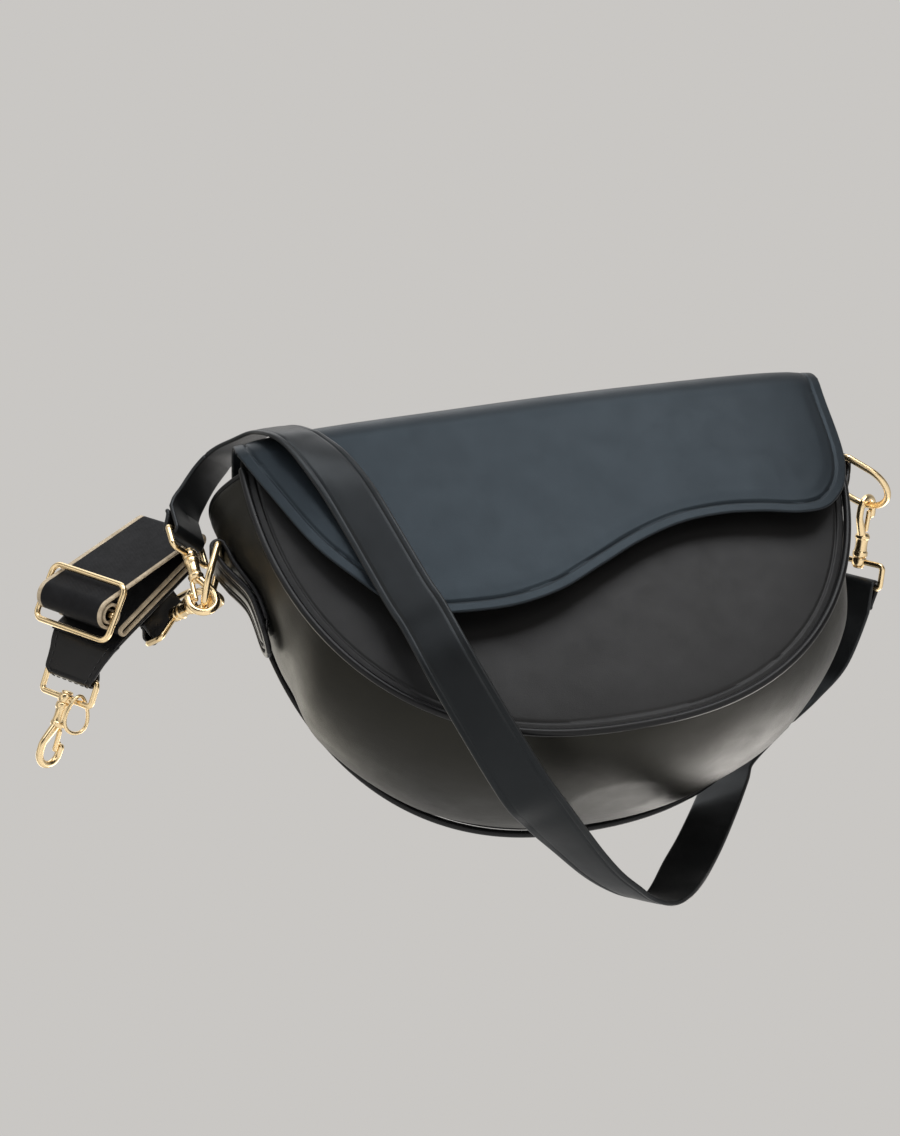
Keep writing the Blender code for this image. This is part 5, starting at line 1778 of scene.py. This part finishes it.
@dataclass
class ShoulderStrap(Assembly):
    """The leather strap from the left clip over the flap, under the bag to the right clip.

    Its ends are cut where the strap leaves the flap and the bag's foot.
    """

    wrap_rows: int = 40
    stitch_rows: Counts = (30, 46)
    stitch_places: Pair = (-0.34, 0.34)
    flap_lean: Point = (0.0, -1.0, 0.3)
    left_cut: float = 0.0550
    right_cut: float = 0.100
    narrower: float = 0.6 * MM
    thinner: float = 0.3 * MM

    def wrap(self, name: str) -> tuple[Array, Array]:
        """One end round the bar of a clip's loop.

        Args:
            name: The loop's frame.

        Returns:
            The strap's middle line there and the way across it.
        """
        frame = frame_of(name)
        top = S.neck_top + S.hook_gap + S.boss_height / 2 + S.loop_height + 2 * S.loop_wire
        bar = frame.copy()
        bar[:3, 3] = moved(np.array([[0, 0, top]]), frame)[0]
        line = wrap_line(S.strap_thick, S.strap_width * 0.5)
        return moved(np.stack([line[:, 0], 0 * line[:, 0], line[:, 1]], axis=1), bar), bar[:3, 1]

    def line(self) -> tuple[Array, Array]:
        """Its middle line and the way across it."""
        scale = np.array([S.half_width, S.base_depth / 2, S.corner, 1, 1, 1])
        start, start_side = self.wrap("left_clip_loop")
        end, end_side = self.wrap("right_clip_loop")
        first = np.concatenate([start[-1], start_side])
        last = np.concatenate([end[-1], -end_side])
        middle = spline(np.vstack([first, np.array(STRAP_ROUTE) * scale, last]), 10)
        head = np.hstack([start[:-1], np.broadcast_to(start_side, start[:-1].shape)])
        tail = np.hstack([end[-2::-1], np.broadcast_to(-end_side, end[:-1].shape)])
        whole = np.concatenate([head, middle, tail])
        return whole[:, :3], whole[:, 3:]

    def spans(self, centres: Array) -> tuple[StrapSpan, ...]:
        """The strap's left end, main length and right end."""
        lean = centres @ np.array(self.flap_lean)
        left = self.wrap_rows + int(np.argmax(lean[self.wrap_rows:] > self.left_cut))
        right = int(np.argmax((centres[:, 0] > self.right_cut) & (centres[:, 1] > 0)))
        return (
            StrapSpan("strap_left_end", 0, left, "left_ring", (-0.138, 0.002, 0.174),
                      (-0.146, 0.004, 0.157)),
            StrapSpan("strap_leather", left, right, "flap", (0, -0.0560, 0),
                      (0, -0.0799, 0.00716)),
            StrapSpan("strap_right_end", right, len(centres) - 1, "right_ring",
                      (0.108, 0.067, 0.055), (0.140, 0.052, 0.083)),
        )

    def build(self) -> None:
        """Makes the strap in three lengths, and the stitches of its two ends."""
        centres, sides = self.line()
        half = np.array(STRAP_HALF_COLUMNS) * MM / S.strap_width
        across = np.concatenate([-0.5 + half[:-1], 0.5 - half[::-1]])
        grid = ribbon(centres, sides, S.strap_width - self.narrower, across)
        relief = pressed((0.5 - np.abs(across))[None] * S.strap_width, STRAP_MARKS)
        relief = np.repeat(relief, len(grid), 0)
        up = grid_normals(grid)[:, len(across) // 2]
        end = len(grid) - 1
        for span in self.spans(centres):
            rows = slice(span.first, span.last + 1)
            cuts = [row for row, cut in ((0, span.first > 0), (-1, span.last < end)) if cut]
            piece = skin(grid[rows], S.strap_thick - self.thinner, depth=relief[rows],
                         centred=True, square=cuts)
            whole = span.body == "flap"
            nodes = ["leather_strap"] if whole else []
            span.hold(self.add(span.name, piece, self.looks.strap, "", nodes))
            if whole:
                continue
            low, high = self.stitch_rows
            part = slice(low, high) if span.first == 0 else slice(end + 1 - high, end + 1 - low)
            sewn = []
            for place in self.stitch_places:
                edge = ribbon(centres, sides, S.strap_width, np.array([place]))[:, 0]
                sewn.append(stitches(edge[part] + up[part] * (S.strap_thick / 2), up[part]))
            name = span.name + "_stitches"
            span.hold(self.add(name, joined(sewn), self.looks.thread, ""))


@dataclass
class WebbingStrap(Assembly):
    """The folded webbing strap beside the left ring, with its leather ends and metal.

    Its stack's frame has Y along the webbing and Z off its face. A level is how far under the
    face a flat run of webbing lies.
    """

    body: str = "bundle"
    levels: Point = (0.00075, 0.0055, 0.0090)
    fold_levels: Pair = (0.0165, 0.0200)
    roll_points: int = 520
    thinner: float = 0.2 * MM
    glide_wire: float = 0.0013
    glide_bar: float = 0.0014
    glide_reach: float = 0.0122
    glide_corner: float = 0.0039
    glide_lean: float = math.radians(45)
    sewn_rows: Counts = (12, 88)
    sewn_columns: Counts = (3, 37)
    cross_row: int = 80
    drop_wire: float = 0.0008
    drop_half: Pair = (0.0052, 0.0080)
    drop_taper: float = 0.3

    def roll(self) -> Array:
        """The webbing's own line, Y along it and Z off its face.

        A spiral r = core + (radius - core) t wound from the glide's bar, then flat runs joined by
        half turns.
        """
        y, z = self.glide_middle()
        t = np.linspace(0, 1, 121)
        turn = np.pi / 2 + 2 * np.pi * S.roll_turns * (1 - t)
        radius = S.roll_core + (S.roll_radius - S.roll_core) * t
        spiral = np.stack([y + radius * np.cos(turn), z + radius * np.sin(turn)], axis=1)
        top, second, third = self.levels
        upper, lower = self.fold_levels
        line = np.concatenate([
            spiral, self.half_turn(S.web_run, -top, -second, 1),
            self.half_turn(-S.web_fold_end, -upper, -lower, -1), np.array([[S.web_run, -third]])])
        return resample(line, np.linspace(0, 1, self.roll_points))

    @staticmethod
    def glide_middle() -> Pair:
        """Where the glide's bar lies."""
        return -S.roll_radius - S.web_thick, -S.roll_radius - S.web_thick / 2

    @staticmethod
    def half_turn(end: float, first: float, last: float, heading: int) -> Array:
        """Half a turn of webbing between two levels at one end of the stack.

        Args:
            end: Where along the stack it starts.
            first: Its first level.
            last: Its last level.
            heading: 1 where it bulges forward, -1 back.

        Returns:
            Its line.
        """
        radius = (first - last) / 2
        turn = np.pi / 2 - np.linspace(0, np.pi, 25)
        y = end + heading * radius * np.cos(turn)
        return np.stack([y, last + radius + radius * np.sin(turn)], axis=1)

    def strip(self, line: Array, widths: Array | float, thick: float, columns: int,
              marks: Sequence[Mark] = ()) -> tuple[Patch, Array]:
        """A flat strip in the stack's frame.

        Args:
            line: Its middle line.
            widths: Its width, or one for each point.
            thick: Its thickness.
            columns: Points across it.
            marks: Marks pressed along both edges.

        Returns:
            The strip and the grid of its middle.
        """
        centres = np.stack([0 * line[:, 0], line[:, 0], line[:, 1]], axis=1)
        sides = np.broadcast_to(np.array([1.0, 0, 0]), centres.shape)
        across = np.linspace(-0.5, 0.5, columns)
        widths = np.broadcast_to(np.asarray(widths, float), (len(line),))
        grid = ribbon(centres, sides, widths - thick * 0.6, across)
        grid = moved(grid, frame_of("bundle"))
        away = (0.5 - np.abs(across))[None] * widths[:, None]
        relief = pressed(away, marks) + 0 * away
        return skin(grid, thick - self.thinner, depth=relief, centred=True), grid

    def build(self) -> None:
        """Makes the webbing, its metal and both leather ends."""
        patch, _ = self.strip(self.roll(), S.web_width, S.web_thick, 45)
        self.add("webbing_strip", patch, self.looks.webbing, self.body, ["webbing"])
        self.make_glide()
        self.make_free_chape()
        self.make_inner_chape()
        self.make_teardrop()

    def make_glide(self) -> None:
        """The oblong frame round the roll, and the bar that the roll is wound on."""
        y, z = self.glide_middle()
        frame = frame_of("bundle")
        wire, corner, shift = self.glide_wire, self.glide_corner, S.web_thick / 2
        half = S.web_width / 2 + wire + S.gap * 4
        a, b = half - corner, self.glide_reach - corner
        ring = round_corners(((a, b, 0), (-a, b, 90), (-a, -b, 180), (a, -b, 270)), corner, 13, 220)
        rise, run = math.cos(self.glide_lean), math.sin(self.glide_lean)
        x, out = ring.T
        path = np.stack([x, y + shift + out * run, z + shift + out * rise], axis=1)
        oblong = tube(path, wire, (0, rise, -run), 18, closed=True).through(frame)
        self.add("glide_frame_wire", oblong, self.looks.gold, self.body, ["glide_frame"])
        end = half - wire - S.gap
        x = np.linspace(-end, end, 30)
        bar = tube(np.stack([x, y + 0 * x, z + 0 * x], axis=1), self.glide_bar, UP, 20)
        self.add("glide_bar_wire", bar.through(frame), self.looks.gold, self.body, ["glide_bar"])

    def make_free_chape(self) -> None:
        """The leather end under the stack, narrowing to its clip's loop, with its stitches."""
        knots = np.array(FREE_CHAPE_LINE)
        share = np.clip((np.arange(len(knots)) - 2) / 7, 0, 1)
        widths = S.web_width + (S.chape_width - S.web_width) * share
        line = spline(np.stack([*knots.T, 0 * widths, widths], axis=1), 8)
        patch, grid = self.strip(line[:, :2], line[:, 3], S.chape, 41, CHAPE_MARKS)
        self.add("free_chape_leather", patch, self.looks.trim, self.body, ["free_chape"])
        up = grid_normals(grid)
        face = grid + up * S.chape * 0.45
        sewn = slice(*self.sewn_rows)
        rows = [stitches(face[sewn, c], up[sewn, c]) for c in self.sewn_columns]
        cross = resample(face[self.cross_row], np.linspace(0.12, 0.88, 40))
        rows.append(stitches(cross, np.broadcast_to(up[self.cross_row, 20], cross.shape)))
        self.add("free_chape_stitches", joined(rows), self.looks.thread, self.body)

    def make_inner_chape(self) -> None:
        """The leather end behind the stack, wrapped round its own clip's loop."""
        centres = spline(INNER_CHAPE_LINE, 6)
        sides = np.broadcast_to(np.array(INNER_CHAPE_SIDE), centres.shape)
        across = np.linspace(-0.5, 0.5, 31)
        grid = ribbon(centres, sides, S.chape_width - 1 * MM, across)
        relief = pressed((0.5 - np.abs(across))[None] * S.chape_width, CHAPE_MARKS)
        relief = np.repeat(relief, len(grid), 0)
        sheet = skin(grid, S.chape - self.thinner, depth=relief, centred=True)
        self.add("inner_chape_leather", sheet, self.looks.trim, self.body, ["inner_chape"])

    def make_teardrop(self) -> None:
        """A small wire ring, wide at its foot."""
        top = S.loop_wire + S.gap * 3 + 0.0008
        turn = 2 * np.pi * np.arange(80) / 80
        half, drop = self.drop_half
        width = half * np.sin(turn) * (1 - self.drop_taper * np.cos(turn))
        path = np.stack([0 * turn, width, top + drop * (np.cos(turn) - 1)], axis=1)
        ring = tube(path, self.drop_wire, (1, 0, 0), 14, closed=True)
        self.add("teardrop_wire", ring.through(frame_of("teardrop_ring")), self.looks.gold,
                 "teardrop_ring", ["teardrop_ring"])


# Studio


@dataclass(frozen=True)
class AreaLight:
    """One soft light: where it stands, its size in metres, its power and its colour."""

    name: str
    place: Point
    size: Pair
    power: float
    color: Color


LIGHTS = (
    AreaLight("key", (0.35, -1.15, 1.15), (1.3, 0.9), 17.0, (0.97, 0.98, 1.0)),
    AreaLight("key_left", (-0.75, -1.1, 1.05), (0.8, 0.8), 3.5, (0.92, 0.95, 1.0)),
    AreaLight("top", (0.0, 0.1, 1.4), (1.2, 1.2), 5.0, (0.95, 0.97, 1.0)),
    AreaLight("left", (-1.3, -0.5, 0.3), (0.8, 1.2), 2.5, (1.0, 0.96, 0.90)),
    AreaLight("front_low", (0.5, -1.5, 0.15), (0.8, 0.6), 3.0, (1.0, 0.95, 0.90)),
    AreaLight("low_left", (-0.58, 0.87, 0.24), (0.6, 0.6), 1.8, (1.0, 0.94, 0.80)),
    AreaLight("low_right", (0.56, 0.90, -0.30), (0.6, 0.6), 4.2, (1.0, 0.95, 0.90)),
)


@dataclass
class Studio:
    """Floor, backdrop light, lamps and the camera."""

    lights: tuple[AreaLight, ...] = LIGHTS
    target: Point = (0.0, 0.0, 0.08)
    backdrop: Color = (0.585, 0.570, 0.550)
    room: tuple = ((0.0, (0.45, 0.44, 0.43)), (0.5, (0.62, 0.61, 0.60)), (1.0, (0.75, 0.77, 0.80)))
    wall_lean: float = 0.6
    wall_reach: Pair = (-0.5, 0.9)
    wall_strength: Pair = (0.05, 1.0)
    floor_tone: tuple = ((0.3, (0.76, 0.745, 0.725)), (0.7, (0.80, 0.785, 0.765)))
    floor_half: float = 6.0
    floor_height: float = -0.62
    place: Point = (-0.20674, -0.74184, -0.26895)
    right: Point = (0.97160, -0.10346, -0.21280)
    up: Point = (0.13889, -0.47872, 0.86691)
    focal_px: float = 2000.0
    picture_px: float = 900.0
    sensor: float = 36.0

    def build(self) -> None:
        """Makes the stage and sets the camera."""
        self.make_world()
        self.make_floor()
        for light in self.lights:
            self.make_lamp(light)
        self.make_camera()

    def make_lamp(self, light: AreaLight) -> None:
        """A lamp that faces the bag and that the camera doesn't see."""
        data = bpy.data.lights.new(light.name, "AREA")
        data.shape = "RECTANGLE"
        data.size, data.size_y = light.size
        data.energy = light.power
        data.color = light.color
        lamp = bpy.data.objects.new(light.name, data)
        lamp.location = light.place
        way = Vector(self.target) - Vector(light.place)
        lamp.rotation_euler = way.to_track_quat("-Z", "Y").to_euler()
        lamp.visible_camera = False
        bpy.context.scene.collection.objects.link(lamp)

    def make_world(self) -> None:
        """The pale backdrop for the camera, for metal and for glass, and a soft room for light.

        Seen in a surface the backdrop is brightest behind and over the bag, where the wall is.
        """
        world = bpy.data.worlds.new("room")
        world.use_nodes = True
        bpy.context.scene.world = world
        world.node_tree.nodes.clear()
        n = Nodes(world.node_tree)
        coords = n.node("ShaderNodeTexCoord").outputs["Generated"]
        way = n.node("ShaderNodeSeparateXYZ", {0: coords}).outputs
        room = n.ramp(n.fit(way[2], (-1.0, 1.0)), self.room)
        lean = n.math("MULTIPLY_ADD", way[2], self.wall_lean, way[1])
        reach = n.fit(lean, self.wall_reach, self.wall_strength)
        diffuse = n.node("ShaderNodeBackground", {0: room}).outputs[0]
        wall = n.node("ShaderNodeBackground", {0: rgba(self.backdrop), 1: reach}).outputs[0]
        shown = n.node("ShaderNodeBackground", {0: rgba(self.backdrop)}).outputs[0]
        rays = n.node("ShaderNodeLightPath").outputs
        shade = diffuse
        for ray, over in (("Is Glossy Ray", wall), ("Is Transmission Ray", shown),
                          ("Is Camera Ray", shown)):
            mixed = n.node("ShaderNodeMixShader", {0: rays[ray], 1: shade, 2: over})
            shade = mixed.outputs[0]
        n.node("ShaderNodeOutputWorld", {0: shade})

    def make_floor(self) -> None:
        """A large plain floor far below the bag, which is held up in the air."""
        p = Painter("floor")
        p.set(Roughness=0.8)
        finish = p.wire(Base_Color=p.ramp(p.noise(0.8), self.floor_tone))
        edge = np.linspace(-self.floor_half, self.floor_half, 13)
        x, y = np.meshgrid(edge, edge, indexing="ij")
        grid = np.stack([x, y, np.full_like(x, self.floor_height)], axis=-1)
        plane = Patch(grid.reshape(-1, 3), grid_quads(*x.shape))
        make_object("floor", plane, finish, "")

    def make_camera(self) -> None:
        """The photograph's view: its focal length in pixels of a 900 wide picture."""
        data = bpy.data.cameras.new("camera")
        data.sensor_fit = "HORIZONTAL"
        data.sensor_width = self.sensor
        data.lens = self.focal_px / self.picture_px * self.sensor
        data.clip_start, data.clip_end = 0.01, 50.0
        camera = bpy.data.objects.new("camera", data)
        right, up = Vector(self.right).normalized(), Vector(self.up).normalized()
        turn = Matrix((right, up, right.cross(up))).transposed().to_4x4()
        camera.matrix_world = Matrix.Translation(Vector(self.place)) @ turn
        bpy.context.scene.collection.objects.link(camera)
        bpy.context.scene.camera = camera
        bpy.context.scene.view_settings.view_transform = "Standard"


def assemblies(looks: Finishes) -> list[Assembly]:
    """Every sub-assembly of the bag, in the order in which it is made."""
    outline = Outline()
    clips = (("left_clip", 0.0215), ("right_clip", 0.0215), ("web_clip", 0.0270),
             ("free_clip", 0.0270))
    return [
        BagBody(looks, outline),
        Flap(looks),
        SideTab(looks, outline, "left_tab", -1),
        SideTab(looks, outline, "right_tab", 1),
        DRing(looks, "left_ring"),
        DRing(looks, "right_ring"),
        *(SnapHook(looks, name, width) for name, width in clips),
        ShoulderStrap(looks),
        WebbingStrap(looks),
    ]


def main() -> None:
    """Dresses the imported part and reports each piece."""
    logging.basicConfig(level=logging.INFO)
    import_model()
    for assembly in assemblies(Finishes.make()):
        assembly.build()
        for piece in assembly.pieces:
            LOG.info("%s: %s, %d faces", type(assembly).__name__, piece.name,
                     len(piece.data.polygons))
    Studio().build()


if __name__ == "__main__":
    main()
